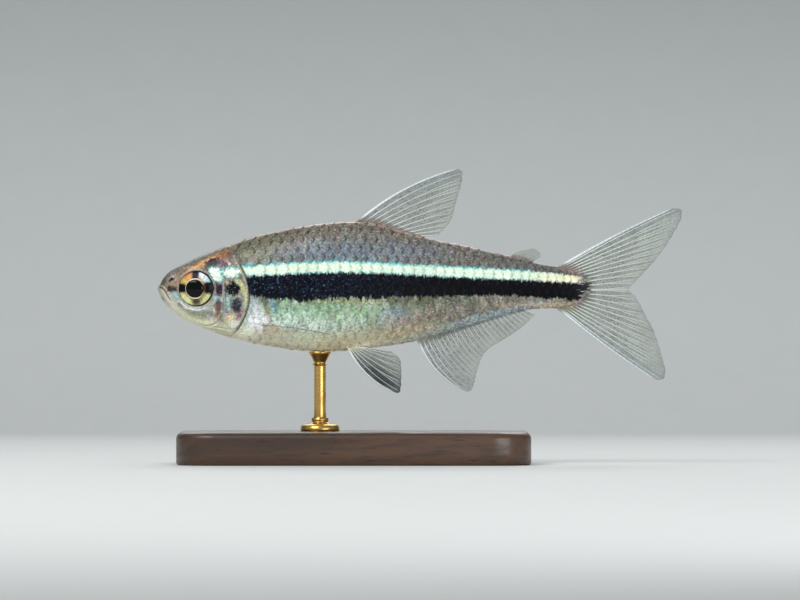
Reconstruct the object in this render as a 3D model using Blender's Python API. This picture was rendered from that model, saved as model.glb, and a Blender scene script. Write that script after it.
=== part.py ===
"""A black neon tetra at life size, swimming level on a small museum stand.

All sizes are in millimetres until place() turns them into Blender's metres. A place on the fish is
given as s, the distance behind the snout tip, y, the distance from the middle plane, and h, the
height above the body's axis, which runs through the eye. The head points to -X and the fish's left
side faces -Y. The floor under the stand is z = 0.
"""

import math

import bmesh
import bpy
import numpy as np

MM = 0.001  # one millimetre in metres
GAP = 0.3  # clearance that neighbouring solids keep
SLANT_GAP = 0.32  # the same, measured straight up or down from a sloping back or belly

# The whole fish
TOTAL_LENGTH = 40.1
DEEPEST_FIN_REACH = 8.1  # from the axis down to the tips of the pelvic and anal fins

# The body, from the snout back: s, back, belly, half width, squareness of the section
BODY_STATIONS = (
    (0.04, 0.06, -0.30, 0.10, 0.80),
    (0.18, 0.28, -0.66, 0.40, 0.80),
    (0.45, 0.74, -1.12, 0.68, 0.78),
    (1.00, 1.30, -1.68, 0.98, 0.76),
    (2.10, 1.88, -2.46, 1.38, 0.74),
    (3.50, 2.53, -3.12, 1.68, 0.74),
    (5.60, 3.34, -3.86, 1.98, 0.78),
    (7.70, 4.03, -4.37, 2.14, 0.84),
    (10.10, 4.55, -4.76, 2.20, 0.88),
    (12.80, 4.94, -4.90, 2.12, 0.90),
    (15.20, 5.07, -4.78, 1.93, 0.92),
    (16.90, 4.86, -4.58, 1.78, 0.94),
    (20.00, 3.96, -4.05, 1.46, 0.96),
    (23.50, 3.22, -3.02, 1.10, 1.00),
    (27.00, 2.42, -1.93, 0.80, 1.00),
    (29.20, 1.84, -1.62, 0.62, 1.00),
    (30.40, 1.66, -1.60, 0.53, 1.00),
    (31.00, 1.47, -1.52, 0.48, 1.00),
    (31.80, 1.18, -1.30, 0.41, 1.00),
    (32.50, 0.78, -0.94, 0.33, 1.00),
    (32.90, 0.36, -0.56, 0.25, 1.00),
)
SNOUT_TIP = BODY_STATIONS[0][0]
BODY_END = BODY_STATIONS[-1][0]

# The gill opening bows back as a cosine of the height and parts the head from the trunk
GILL_FRONT = 4.36
GILL_SWEEP = 2.60
GILL_LEVEL = -0.46
GILL_REACH_UP = 4.74
GILL_REACH_DOWN = 4.13
GILL_GAP = 0.38  # measured along the body, across a slanting cut

# The gill cover is a plate let into the side of the head, outlined by s and h
GILL_COVER_OUTLINE = (
    (5.34, 0.98),
    (5.80, 1.42),
    (6.36, 1.15),
    (6.82, 0.23),
    (6.88, -0.84),
    (6.58, -1.91),
    (6.01, -2.75),
    (5.50, -3.14),
    (5.20, -2.52),
    (5.17, -0.77),
)
GILL_COVER_MIDDLE = (6.00, -0.80)
GILL_COVER_THICKNESS = 0.5
GILL_COVER_RAISED = 0.06
GILL_COVER_SIDES = 28
RECESS_REACH = 0.6  # from the flank out to the open side of the recess

# The eye is a flattened ball, domed outside and deeper inside
EYE_S = 2.97
EYE_H = -0.08
EYE_RADIUS = 1.38
EYE_DOME = 0.42
EYE_DEPTH = 0.90
EYE_SUNK = 0.12  # from the head's side in to the eye's widest ring
EYE_TURN = math.radians(11)  # towards the snout
EYE_GAP = 0.22
SOCKET_DOME = 1.2  # enough to open the socket outwards
SOCKET_SIDES = 28
EYE_SIDES = 24
EYE_RINGS = 7

# The mouth runs from the lips down and back to its corner
MOUTH_LINE = ((-0.08, 0.03), (0.23, 0.01), (0.52, -0.25), (0.77, -0.66), (1.00, -1.10))
MOUTH_SLIT = 0.12
MOUTH_DEPTH = 0.30
MOUTH_REACH = 1.0  # from the flank out to the open side of the slit
MOUTH_OVERLAP = 0.03  # of the two sides' slits past the middle plane
LIP_RADIUS = 0.12
LIP_RISE = 0.13  # from the mouth line to the middle of a lip
UPPER_LIP_FRONT = (0.20, 0.16)
LOWER_LIP_FRONT = (0.13, -0.14)
LIP_SIDES = 8
LIP_ENDS = (0.12, 0.88)  # where the lips' taper starts and stops along a half wave
NOSTRIL_RADIUS = 0.13
NOSTRIL_RAISED = 0.03  # of the cutter's middle above the flank
NOSTRIL_PLACES = ((0.92, 0.52), (1.20, 0.64))

# Cuts between the lengths of the body
TRUNK_END = 28.9

# Fins: every ray ends on the margin, whose points run from the leading tip to the hindmost ray
FIN_HALF_THICKNESS = 0.25
FIN_TIP_HALF_THICKNESS = 0.12
RAY_RIDGE = 0.08  # height of a ray above the membrane
FIN_SIDE = FIN_HALF_THICKNESS + RAY_RIDGE
RAY_SHARE = 0.30  # half a ridge's width as a share of the ray spacing
RAY_ROWS = (0.0, 0.22, 0.46, 0.70, 0.88, 1.0)
THINNING_SHARE = 0.3  # of each ray, over which the fin thins to its margin

DORSAL_ROOT = (15.35, 20.10)
DORSAL_MARGIN = (
    (23.05, 9.05),
    (23.32, 8.60),
    (23.16, 7.69),
    (22.78, 6.40),
    (22.40, 5.13),
    (21.42, 3.95),
)
DORSAL_RAYS = 11
DORSAL_BOW = 0.50

ADIPOSE_ROOT = (27.05, 28.70)
ADIPOSE_MARGIN = ((28.00, 2.84), (28.73, 2.97), (29.22, 2.66), (29.26, 2.32))
ADIPOSE_BOW = 0.10

ANAL_ROOT = (19.90, 28.10)
ANAL_MARGIN = (
    (23.82, -7.99),
    (24.07, -7.69),
    (24.38, -6.45),
    (24.94, -5.22),
    (25.73, -4.44),
    (26.81, -3.83),
    (27.88, -3.06),
    (28.57, -2.40),
    (28.95, -2.02),
)
ANAL_RAYS = 25
ANAL_BOW = 0.50

TAIL_MIDDLE = -0.17  # height of the fork
TAIL_UPPER_ROOT = ((31.05, 1.76), (31.75, 1.60), (32.60, 1.22), (33.10, 0.76), (33.26, 0.00))
TAIL_UPPER_MARGIN = (
    (39.65, 6.03),
    (40.10, 5.74),
    (39.85, 4.79),
    (38.98, 3.23),
    (38.00, 2.15),
    (36.45, 0.25),
    (35.96, 0.00),
)
TAIL_LOWER_ROOT = ((30.90, -1.88), (31.70, -1.72), (32.55, -1.38), (33.10, -0.96), (33.26, -0.34))
TAIL_LOWER_MARGIN = (
    (38.30, -7.10),
    (38.78, -6.63),
    (38.58, -5.55),
    (38.00, -4.09),
    (37.22, -2.14),
    (36.50, -0.62),
    (35.96, -0.34),
)
TAIL_RAYS = 10
TAIL_BOW = 0.16

PELVIC_ROOT = (14.55, 15.60)
PELVIC_SIDE = 0.80  # from the middle plane to the root
PELVIC_SPLAY = 0.30  # outward for each millimetre down
PELVIC_MARGIN = ((18.32, -8.08), (18.54, -7.74), (18.60, -6.45), (18.42, -5.43), (17.80, -4.86))
PELVIC_RAYS = 8
PELVIC_BOW = 0.44

PECTORAL_ROOT = ((7.80, -2.85), (7.92, -3.28))
PECTORAL_MARGIN = (
    (13.28, -3.56),
    (12.95, -4.02),
    (12.05, -4.40),
    (11.10, -4.50),
    (10.20, -4.34),
    (9.35, -3.98),
)
PECTORAL_RAYS = 11
PECTORAL_BOW = 0.12
PECTORAL_SPREAD = 1.10  # of the tip away from the flank

# The stand: a flat base and one turned rod under the belly
BASE_LENGTH = 27.0
BASE_WIDTH = 15.0
BASE_THICKNESS = 2.5
BASE_MIDDLE_S = 15.0
BASE_CORNER = 3.0
BASE_CHAMFER = 0.5
FIN_CLEARANCE = 2.9  # from the lowest fin tip to the base
ROD_S = 12.4
ROD_RADIUS = 0.50
ROD_FOOT_RADIUS = 1.50
ROD_FOOT_HEIGHT = 0.50
ROD_PAD_RADIUS = 0.85
ROD_PAD_HEIGHT = 0.45
ROD_SIDES = 20
ROD_DISH_RINGS = 3

AXIS_HEIGHT = BASE_THICKNESS + FIN_CLEARANCE + DEEPEST_FIN_REACH

COLOURS = {
    "skin": (0.38, 0.38, 0.33, 0.35, 0.30),
    "gill_cover": (0.52, 0.56, 0.50, 0.25, 0.45),
    "eye": (0.62, 0.52, 0.26, 0.12, 0.40),
    "fin": (0.60, 0.65, 0.60, 0.30, 0.00),
    "base_wood": (0.10, 0.055, 0.03, 0.40, 0.00),
    "rod_brass": (0.72, 0.55, 0.25, 0.25, 1.00),
}


def smooth_through(rows, count):
    """A Catmull-Rom curve through the rows of a table, sampled evenly in the rows' own numbering."""
    rows = np.array(rows, float)
    ends = np.vstack([2 * rows[0] - rows[1], rows, 2 * rows[-1] - rows[-2]])
    along = np.linspace(0, len(rows) - 1, count)
    first = np.minimum(along.astype(int), len(rows) - 2)
    t = (along - first)[:, None]
    a, b, c, d = (ends[first + k] for k in range(4))
    return 0.5 * (
        2 * b + (c - a) * t + (2 * a - 5 * b + 4 * c - d) * t**2 + (3 * b - a - 3 * c + d) * t**3
    )


def closed_through(points, count):
    """The same curve round a closed outline, with no point repeated."""
    overlap = 2
    wrapped = list(points[-overlap:]) + list(points) + list(points[: overlap + 1])
    per_step = 8
    dense = smooth_through(wrapped, (len(wrapped) - 1) * per_step + 1)
    dense = dense[overlap * per_step : (overlap + len(points)) * per_step + 1]
    length = np.concatenate([[0], np.cumsum(np.linalg.norm(np.diff(dense, axis=0), axis=1))])
    even = np.linspace(0, length[-1], count, endpoint=False)
    return np.stack([np.interp(even, length, dense[:, k]) for k in range(2)], axis=1)


BODY_TABLE = smooth_through(BODY_STATIONS, 600)


def body_at(s):
    """Height of the section's middle, half its height, half its width and its squareness, at s."""
    back, belly, half_width, square = (
        np.interp(s, BODY_TABLE[:, 0], BODY_TABLE[:, k]) for k in range(1, 5)
    )
    return (back + belly) / 2, (back - belly) / 2, half_width, square


def flank(s, h):
    """Distance of the body's side from the middle plane, at s and height h."""
    middle, half_height, half_width, square = body_at(s)
    share = np.clip(np.abs(h - middle) / half_height, 0, 1)
    return half_width * (1 - share**2) ** (square / 2)


def belly_height(s, y):
    """Height of the underside at s, a distance y from the middle plane."""
    middle, half_height, half_width, square = body_at(s)
    share = np.clip(np.abs(y) / half_width, 0, 1) ** (2 / square)
    return middle - half_height * np.sqrt(1 - share)


def gill_edge(h):
    """How far back the gill opening lies at height h."""
    reach = np.where(h > GILL_LEVEL, GILL_REACH_UP, GILL_REACH_DOWN)
    turn = np.clip((h - GILL_LEVEL) / reach, -1, 1) * math.pi / 2
    return GILL_FRONT + GILL_SWEEP * np.cos(turn)


def place(s, y, h):
    """Points in metres in the part's own frame."""
    s, y, h = np.broadcast_arrays(s, y, h)
    return np.stack([s - TOTAL_LENGTH / 2, y, h + AXIS_HEIGHT], axis=-1).reshape(-1, 3) * MM


def material(name):
    """A plain material in the colour, roughness and metallic value of one finish."""
    found = bpy.data.materials.get(name)
    if found:
        return found
    red, green, blue, roughness, metallic = COLOURS[name]
    made = bpy.data.materials.new(name)
    made.use_nodes = True
    shader = made.node_tree.nodes["Principled BSDF"]
    shader.inputs["Base Color"].default_value = (red, green, blue, 1)
    shader.inputs["Roughness"].default_value = roughness
    shader.inputs["Metallic"].default_value = metallic
    return made


def add_object(name, points, faces, finish):
    """One closed mesh object with its faces turned outwards."""
    mesh = bpy.data.meshes.new(name)
    mesh.from_pydata([tuple(p) for p in points], [], [tuple(f) for f in faces])
    edit = bmesh.new()
    edit.from_mesh(mesh)
    bmesh.ops.recalc_face_normals(edit, faces=edit.faces)
    edit.to_mesh(mesh)
    edit.free()
    mesh.shade_smooth()
    mesh.set_sharp_from_angle(angle=math.radians(40))
    obj = bpy.data.objects.new(name, mesh)
    bpy.context.scene.collection.objects.link(obj)
    obj.data.materials.append(material(finish))
    return obj


def keep_largest_surface(mesh):
    """Drops every closed surface of a mesh but the one with the most faces."""
    edit = bmesh.new()
    edit.from_mesh(mesh)
    left = set(edit.faces)
    surfaces = []
    while left:
        surface = {left.pop()}
        edge_of_search = list(surface)
        while edge_of_search:
            face = edge_of_search.pop()
            for edge in face.edges:
                for other in edge.link_faces:
                    if other in left:
                        left.remove(other)
                        surface.add(other)
                        edge_of_search.append(other)
        surfaces.append(surface)
    surfaces.sort(key=len)
    scraps = [face for surface in surfaces[:-1] for face in surface]
    bmesh.ops.delete(edit, geom=scraps, context="FACES")
    edit.to_mesh(mesh)
    edit.free()


def combine(obj, others, operation):
    """Applies one Boolean of the other objects, removes them and keeps the largest surface."""
    helpers = bpy.data.collections.new("helpers")
    for other in others:
        bpy.context.scene.collection.objects.unlink(other)
        helpers.objects.link(other)
    step = obj.modifiers.new(operation.lower(), "BOOLEAN")
    step.operation = operation
    step.operand_type = "COLLECTION"
    step.collection = helpers
    step.solver = "EXACT"
    graph = bpy.context.evaluated_depsgraph_get()
    result = bpy.data.meshes.new_from_object(obj.evaluated_get(graph))
    obj.modifiers.clear()
    obj.data = result
    keep_largest_surface(result)
    for other in others:
        bpy.data.objects.remove(other)
    bpy.data.collections.remove(helpers)


def grid_faces(rows, columns, closed):
    """Quads between neighbouring rows of a grid of points."""
    last = columns if closed else columns - 1
    return [
        (
            r * columns + c,
            r * columns + (c + 1) % columns,
            (r + 1) * columns + (c + 1) % columns,
            (r + 1) * columns + c,
        )
        for r in range(rows - 1)
        for c in range(last)
    ]


def section_cap(start, around):
    """Faces that fill one section ring straight across from left to right."""
    half = around // 2
    faces = [(start, start + 1, start + around - 1)]
    for k in range(1, half - 1):
        faces.append((start + k, start + k + 1, start + around - k - 1, start + around - k))
    faces.append((start + half - 1, start + half, start + half + 1))
    return faces


def edge_ring(edge, angles):
    """The ring where the body is cut along s = edge(h): a few turns bring s and h together."""
    s = np.full(len(angles), float(edge(0.0)))
    for _ in range(12):
        middle, half_height, _, _ = body_at(s)
        s = np.clip(edge(middle + half_height * np.sin(angles)), 0, BODY_END)
    return s


def body_length(name, front_edge, rear_edge, shares, around):
    """A closed length of the body between two cuts, lofted through rings that blend from one to the other."""
    angles = math.pi / 2 + np.linspace(0, 2 * math.pi, around, endpoint=False)
    front = edge_ring(front_edge, angles)
    rear = edge_ring(rear_edge, angles)
    points = []
    for share in shares:
        s = front + (rear - front) * share
        middle, half_height, half_width, square = body_at(s)
        across = np.cos(angles)
        y = half_width * np.sign(across) * np.abs(across) ** square
        points.append(place(s, y, middle + half_height * np.sin(angles)))
    faces = grid_faces(len(shares), around, closed=True)
    faces += section_cap(0, around) + section_cap((len(shares) - 1) * around, around)
    return add_object(name, np.concatenate(points), faces, "skin")


def side_plate(name, side, outline, middle, outer, inner, rings, finish):
    """A closed plate that follows the flank: its faces stand outer and inner millimetres off it."""
    outline = np.array(outline)
    middle = np.array(middle)
    points = []
    for offset in (outer, inner):
        for ring in range(1, rings + 1):
            spot = middle + (outline - middle) * ring / rings
            y = side * (flank(spot[:, 0], spot[:, 1]) + offset)
            points.append(place(spot[:, 0], y, spot[:, 1]))
        y = side * (flank(*middle) + offset)
        points.append(place(middle[0], y, middle[1]))
    around = len(outline)
    layer = rings * around + 1
    faces = []
    for start in (0, layer):
        faces += [tuple(start + k for k in face) for face in grid_faces(rings, around, closed=True)]
        hub = start + layer - 1
        faces += [(hub, start + k, start + (k + 1) % around) for k in range(around)]
    rim = (rings - 1) * around
    for k in range(around):
        after = (k + 1) % around
        faces.append((rim + k, rim + after, layer + rim + after, layer + rim + k))
    return add_object(name, np.concatenate(points), faces, finish)


def grown(outline, middle, by):
    """An outline pushed out from its middle by a length."""
    outline = np.array(outline)
    out = outline - np.array(middle)
    return outline + by * out / np.linalg.norm(out, axis=1)[:, None]


def eye_ball(name, side, radius, dome, depth, around, rings, finish):
    """A ball flattened to dome outside its widest ring and to depth inside it."""
    polar = np.linspace(-math.pi / 2, math.pi / 2, rings + 2)[1:-1]
    angles = np.linspace(0, 2 * math.pi, around, endpoint=False)
    wide = radius * np.cos(polar)[:, None] * np.ones(around)
    out = np.where(polar > 0, dome, depth)[:, None] * np.sin(polar)[:, None] * np.ones(around)
    forward = wide * np.cos(angles)
    up = wide * np.sin(angles)
    forward = np.concatenate([forward.ravel(), [0, 0]])
    up = np.concatenate([up.ravel(), [0, 0]])
    out = np.concatenate([out.ravel(), [-depth, dome]])
    s = EYE_S - forward * math.cos(EYE_TURN) - out * math.sin(EYE_TURN)
    y = flank(EYE_S, EYE_H) - EYE_SUNK + out * math.cos(EYE_TURN) - forward * math.sin(EYE_TURN)
    points = place(s, side * y, EYE_H + up)
    faces = grid_faces(rings, around, closed=True)
    inner, outer = rings * around, rings * around + 1
    for k in range(around):
        after = (k + 1) % around
        faces.append((inner, k, after))
        faces.append((outer, (rings - 1) * around + k, (rings - 1) * around + after))
    return add_object(name, points, faces, finish)


def ball(name, centre, radius, around=10, rings=5):
    """A small round cutter at a place on the fish."""
    polar = np.linspace(-math.pi / 2, math.pi / 2, rings + 2)[1:-1]
    angles = np.linspace(0, 2 * math.pi, around, endpoint=False)
    s = (radius * np.cos(polar)[:, None] * np.cos(angles)).ravel()
    h = (radius * np.cos(polar)[:, None] * np.sin(angles)).ravel()
    y = (radius * np.sin(polar)[:, None] * np.ones(around)).ravel()
    s, y, h = (np.concatenate([v, [0, 0]]) for v in (s, y, h))
    y[-2:] = -radius, radius
    faces = grid_faces(rings, around, closed=True)
    for k in range(around):
        after = (k + 1) % around
        faces.append((rings * around, k, after))
        faces.append((rings * around + 1, (rings - 1) * around + k, (rings - 1) * around + after))
    points = place(centre[0] + s, centre[1] + y, centre[2] + h)
    return add_object(name, points, faces, "skin")


def mouth_path(shift):
    """The mouth line, moved across itself by shift, as s and h."""
    path = smooth_through(MOUTH_LINE, 9)
    way = np.gradient(path, axis=0)
    way /= np.linalg.norm(way, axis=1)[:, None]
    return path + shift * np.stack([-way[:, 1], way[:, 0]], axis=1)


def mouth_slit(name, side):
    """The thin cutter that leaves the line of the mouth on one side of the head."""
    upper, lower = mouth_path(MOUTH_SLIT / 2), mouth_path(-MOUTH_SLIT / 2)
    middle = mouth_path(0)
    reach = flank(middle[:, 0], middle[:, 1])
    inner = np.maximum(reach - MOUTH_DEPTH, -MOUTH_OVERLAP)
    outer = reach + MOUTH_REACH
    corners = (
        place(upper[:, 0], side * inner, upper[:, 1]),
        place(upper[:, 0], side * outer, upper[:, 1]),
        place(lower[:, 0], side * outer, lower[:, 1]),
        place(lower[:, 0], side * inner, lower[:, 1]),
    )
    points = np.stack(corners, axis=1).reshape(-1, 3)
    rows = len(middle)
    faces = grid_faces(rows, 4, closed=True)
    faces += [(0, 1, 2, 3), tuple((rows - 1) * 4 + k for k in range(4))]
    return add_object(name, points, faces, "skin")


def lip(name, rise, front):
    """A round lip from one corner of the mouth, across the front, to the other corner."""
    half = mouth_path(rise)[::-1]
    half = half[half[:, 0] > front[0] + LIP_RADIUS]
    y = flank(half[:, 0], half[:, 1])
    left = np.stack([half[:, 0], -y, half[:, 1]], axis=1)
    right = left[::-1] * (1, -1, 1)
    path = np.concatenate([left, [(front[0], 0.0, front[1])], right])
    way = np.gradient(path, axis=0)
    way /= np.linalg.norm(way, axis=1)[:, None]
    across = np.cross(way, (0.0, 0.0, 1.0))
    across /= np.linalg.norm(across, axis=1)[:, None]
    up = np.cross(across, way)
    turn = np.linspace(0, 2 * math.pi, LIP_SIDES, endpoint=False)
    fat = LIP_RADIUS * np.sin(np.linspace(*LIP_ENDS, len(path)) * math.pi) ** 0.35
    ring = (
        path[:, None]
        + across[:, None] * (fat[:, None] * np.cos(turn))[..., None]
        + up[:, None] * (fat[:, None] * np.sin(turn))[..., None]
    )
    points = place(ring[..., 0], ring[..., 1], ring[..., 2])
    faces = grid_faces(len(path), LIP_SIDES, closed=True)
    last = (len(path) - 1) * LIP_SIDES
    faces += [tuple(range(LIP_SIDES)), tuple(range(last, last + LIP_SIDES))]
    return add_object(name, points, faces, "skin")


def head():
    """The head back to the gill opening, with eye sockets, gill recesses, mouth and nostrils."""
    shares = np.concatenate([np.linspace(0, 0.15, 6), np.linspace(0.21, 1, 13)])
    skull = body_length("head", lambda h: SNOUT_TIP + h * 0.0, gill_edge, shares, 32)
    upper = lip("upper_lip", LIP_RISE, UPPER_LIP_FRONT)
    lower = lip("lower_lip", -LIP_RISE, LOWER_LIP_FRONT)
    combine(skull, [upper, lower], "UNION")
    outline = closed_through(GILL_COVER_OUTLINE, GILL_COVER_SIDES)
    recess = grown(outline, GILL_COVER_MIDDLE, GILL_GAP)
    depth = GILL_COVER_THICKNESS + GAP - GILL_COVER_RAISED
    cutters = []
    for side, label in ((-1, "left"), (1, "right")):
        socket = (EYE_RADIUS + EYE_GAP, SOCKET_DOME, EYE_DEPTH + EYE_GAP, SOCKET_SIDES, EYE_RINGS)
        cutters.append(eye_ball("socket_" + label, side, *socket, "skin"))
        middle = GILL_COVER_MIDDLE
        cutters.append(side_plate("recess_" + label, side, recess, middle, RECESS_REACH, -depth, 3, "skin"))
        cutters.append(mouth_slit("slit_" + label, side))
        for number, (s, h) in enumerate(NOSTRIL_PLACES):
            centre = (s, side * (flank(s, h) + NOSTRIL_RAISED), h)
            cutters.append(ball(f"nostril_{label}_{number}", centre, NOSTRIL_RADIUS))
    combine(skull, cutters, "DIFFERENCE")


def gill_covers():
    """One plate on each side that follows the flank and stands a little proud of the head."""
    outline = closed_through(GILL_COVER_OUTLINE, GILL_COVER_SIDES)
    inner = GILL_COVER_RAISED - GILL_COVER_THICKNESS
    for side, label in ((-1, "left"), (1, "right")):
        name = "gill_cover_" + label
        middle = GILL_COVER_MIDDLE
        side_plate(name, side, outline, middle, GILL_COVER_RAISED, inner, 4, "gill_cover")


def eyes():
    """One ball on each side, set in its socket."""
    for side, label in ((-1, "left"), (1, "right")):
        eye_ball("eye_" + label, side, EYE_RADIUS, EYE_DOME, EYE_DEPTH, EYE_SIDES, EYE_RINGS, "eye")


def trunk():
    """The body from behind the gill opening to the tail stalk."""
    shares = np.linspace(0, 1, 27)
    body_length("trunk", lambda h: gill_edge(h) + GILL_GAP, lambda h: TRUNK_END + h * 0.0, shares, 32)


def tail_stalk():
    """The narrow length that carries the tail fin."""
    shares = np.concatenate([np.linspace(0, 0.76, 5), np.linspace(0.82, 1, 4)])
    front = TRUNK_END + GAP
    body_length("tail_stalk", lambda h: front + h * 0.0, lambda h: BODY_END + h * 0.0, shares, 24)


def ray_columns(rays):
    """Where a fin's columns of points lie across it, and whether each is the crest of a ray."""
    spacing = 1 / (rays - 1)
    columns, crests = [], []
    for ray in range(rays):
        for step in (-RAY_SHARE, 0, RAY_SHARE):
            v = (ray + step) * spacing
            if 0 <= v <= 1:
                columns.append(v)
                crests.append(step == 0)
    return np.array(columns), np.array(crests)


def fin_rays(root, margin, bow):
    """s and h of every point of a fin: straight lines from root to margin that bow to the leading side."""
    u = np.array(RAY_ROWS)[:, None, None]
    run = margin - root
    lead = np.stack([run[:, 1], -run[:, 0]], axis=1)
    lead /= np.linalg.norm(lead, axis=1)[:, None]
    lead *= np.sign(lead @ (root[0] - root[-1]))[:, None]
    return root + run * u + lead * (bow[:, None] * 4 * u * (1 - u))


def fin_thickness(crests):
    """Half the thickness of a fin, with ridges on the rays and a thin margin."""
    u = np.array(RAY_ROWS)[:, None]
    fade = np.clip((1 - u) / THINNING_SHARE, 0, 1)
    membrane = FIN_TIP_HALF_THICKNESS + (FIN_HALF_THICKNESS - FIN_TIP_HALF_THICKNESS) * fade
    return membrane + RAY_RIDGE * (1 - u**3) * crests


def fin_solid(name, s, y, h, half_thickness):
    """A closed fin about its middle sheet: both faces are split into triangles alike."""
    rows, columns = s.shape
    left = place(s, y - half_thickness, h)
    right = place(s, y + half_thickness, h)
    layer = rows * columns
    faces = []
    for a, b, c, d in grid_faces(rows, columns, closed=False):
        faces += [(a, b, c), (a, c, d)]
        faces += [(layer + a, layer + c, layer + b), (layer + a, layer + d, layer + c)]
    rim = list(range(columns))
    rim += [r * columns + columns - 1 for r in range(1, rows)]
    rim += [(rows - 1) * columns + c for c in range(columns - 2, -1, -1)]
    rim += [r * columns for r in range(rows - 2, 0, -1)]
    for a, b in zip(rim, rim[1:] + rim[:1]):
        faces += [(a, b, layer + b), (a, layer + b, layer + a)]
    return add_object(name, np.concatenate([left, right]), faces, "fin")


def margin_at(points, columns):
    """The margin's point for each column, by distance along the margin."""
    dense = smooth_through(points, 12 * len(points))
    length = np.concatenate([[0], np.cumsum(np.linalg.norm(np.diff(dense, axis=0), axis=1))])
    return np.stack([np.interp(columns * length[-1], length, dense[:, k]) for k in range(2)], axis=1)


def middle_fin(name, root, margin, rays, bow):
    """An unpaired fin that stands in the middle plane. root is a function of the share across it."""
    columns, crests = ray_columns(rays)
    spots = fin_rays(root(columns), margin_at(margin, columns), bow * (1 - columns))
    s, h = spots[..., 0], spots[..., 1]
    return fin_solid(name, s, np.zeros_like(s), h, fin_thickness(crests))


def back_root(span):
    """A root just clear of the back, between two distances behind the snout."""

    def root(v):
        s = span[0] + (span[1] - span[0]) * v
        middle, half_height, _, _ = body_at(s)
        return np.stack([s, middle + half_height + SLANT_GAP], axis=1)

    return root


def belly_root(span):
    """A root just clear of the underside, between two distances behind the snout."""

    def root(v):
        s = span[0] + (span[1] - span[0]) * v
        middle, half_height, _, _ = body_at(s)
        return np.stack([s, middle - half_height - SLANT_GAP], axis=1)

    return root


def adipose_fin():
    """The small fleshy fin behind the dorsal, which has no rays."""
    columns = np.linspace(0, 1, 7)
    root = back_root(ADIPOSE_ROOT)(columns)
    spots = fin_rays(root, margin_at(ADIPOSE_MARGIN, columns), ADIPOSE_BOW * (1 - columns))
    s, h = spots[..., 0], spots[..., 1]
    fin_solid("adipose_fin", s, np.zeros_like(s), h, fin_thickness(np.zeros(7, bool)))


def tail_fin():
    """The two lobes of the forked tail fin, each rooted round its half of the tail stalk's end."""
    lobes = (
        ("caudal_fin_upper", TAIL_UPPER_ROOT, TAIL_UPPER_MARGIN),
        ("caudal_fin_lower", TAIL_LOWER_ROOT, TAIL_LOWER_MARGIN),
    )
    for name, root, margin in lobes:
        middle_fin(name, lambda v, points=root: margin_at(points, v), margin, TAIL_RAYS, TAIL_BOW)


def pelvic_fins():
    """A pair of fins under the belly that hang down and back and splay a little."""
    columns, crests = ray_columns(PELVIC_RAYS)
    s_root = PELVIC_ROOT[0] + (PELVIC_ROOT[1] - PELVIC_ROOT[0]) * columns
    h_root = belly_height(s_root, PELVIC_SIDE - FIN_SIDE) - GAP
    root = np.stack([s_root, h_root], axis=1)
    spots = fin_rays(root, margin_at(PELVIC_MARGIN, columns), PELVIC_BOW * (1 - columns))
    s, h = spots[..., 0], spots[..., 1]
    y = PELVIC_SIDE + PELVIC_SPLAY * (h_root[0] - h)
    for side, label in ((-1, "left"), (1, "right")):
        fin_solid("pelvic_fin_" + label, s, side * y, h, fin_thickness(crests))


def pectoral_fins():
    """A pair of fins folded back along the flanks behind the gill covers."""
    columns, crests = ray_columns(PECTORAL_RAYS)
    root = margin_at(PECTORAL_ROOT, columns)
    spots = fin_rays(root, margin_at(PECTORAL_MARGIN, columns), PECTORAL_BOW * (1 - columns))
    s, h = spots[..., 0], spots[..., 1]
    half_thickness = fin_thickness(crests)
    clear = flank(s, h[:, :1]) + GAP + FIN_SIDE
    y = clear + PECTORAL_SPREAD * np.array(RAY_ROWS)[:, None] ** 1.5
    for side, label in ((-1, "left"), (1, "right")):
        fin_solid("pectoral_fin_" + label, s, side * y, h, half_thickness)


def stand_base():
    """A flat wooden plate with round corners and a chamfered upper edge."""
    corner_steps = 5
    quarter = np.linspace(0, math.pi / 2, corner_steps)
    rings = []
    for inset, h in ((0.0, 0.0), (0.0, BASE_THICKNESS - BASE_CHAMFER), (BASE_CHAMFER, BASE_THICKNESS)):
        ring = []
        for turn in range(4):
            angle = quarter + turn * math.pi / 2
            across = 1 if turn in (0, 3) else -1
            deep = 1 if turn in (0, 1) else -1
            s = across * (BASE_LENGTH / 2 - BASE_CORNER) + (BASE_CORNER - inset) * np.cos(angle)
            y = deep * (BASE_WIDTH / 2 - BASE_CORNER) + (BASE_CORNER - inset) * np.sin(angle)
            ring.append(place(BASE_MIDDLE_S + s, y, h - AXIS_HEIGHT))
        rings.append(np.concatenate(ring))
    around = 4 * corner_steps
    faces = grid_faces(3, around, closed=True)
    faces += [tuple(range(around)), tuple(range(2 * around, 3 * around))]
    add_object("stand_base", np.concatenate(rings), faces, "base_wood")


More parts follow.
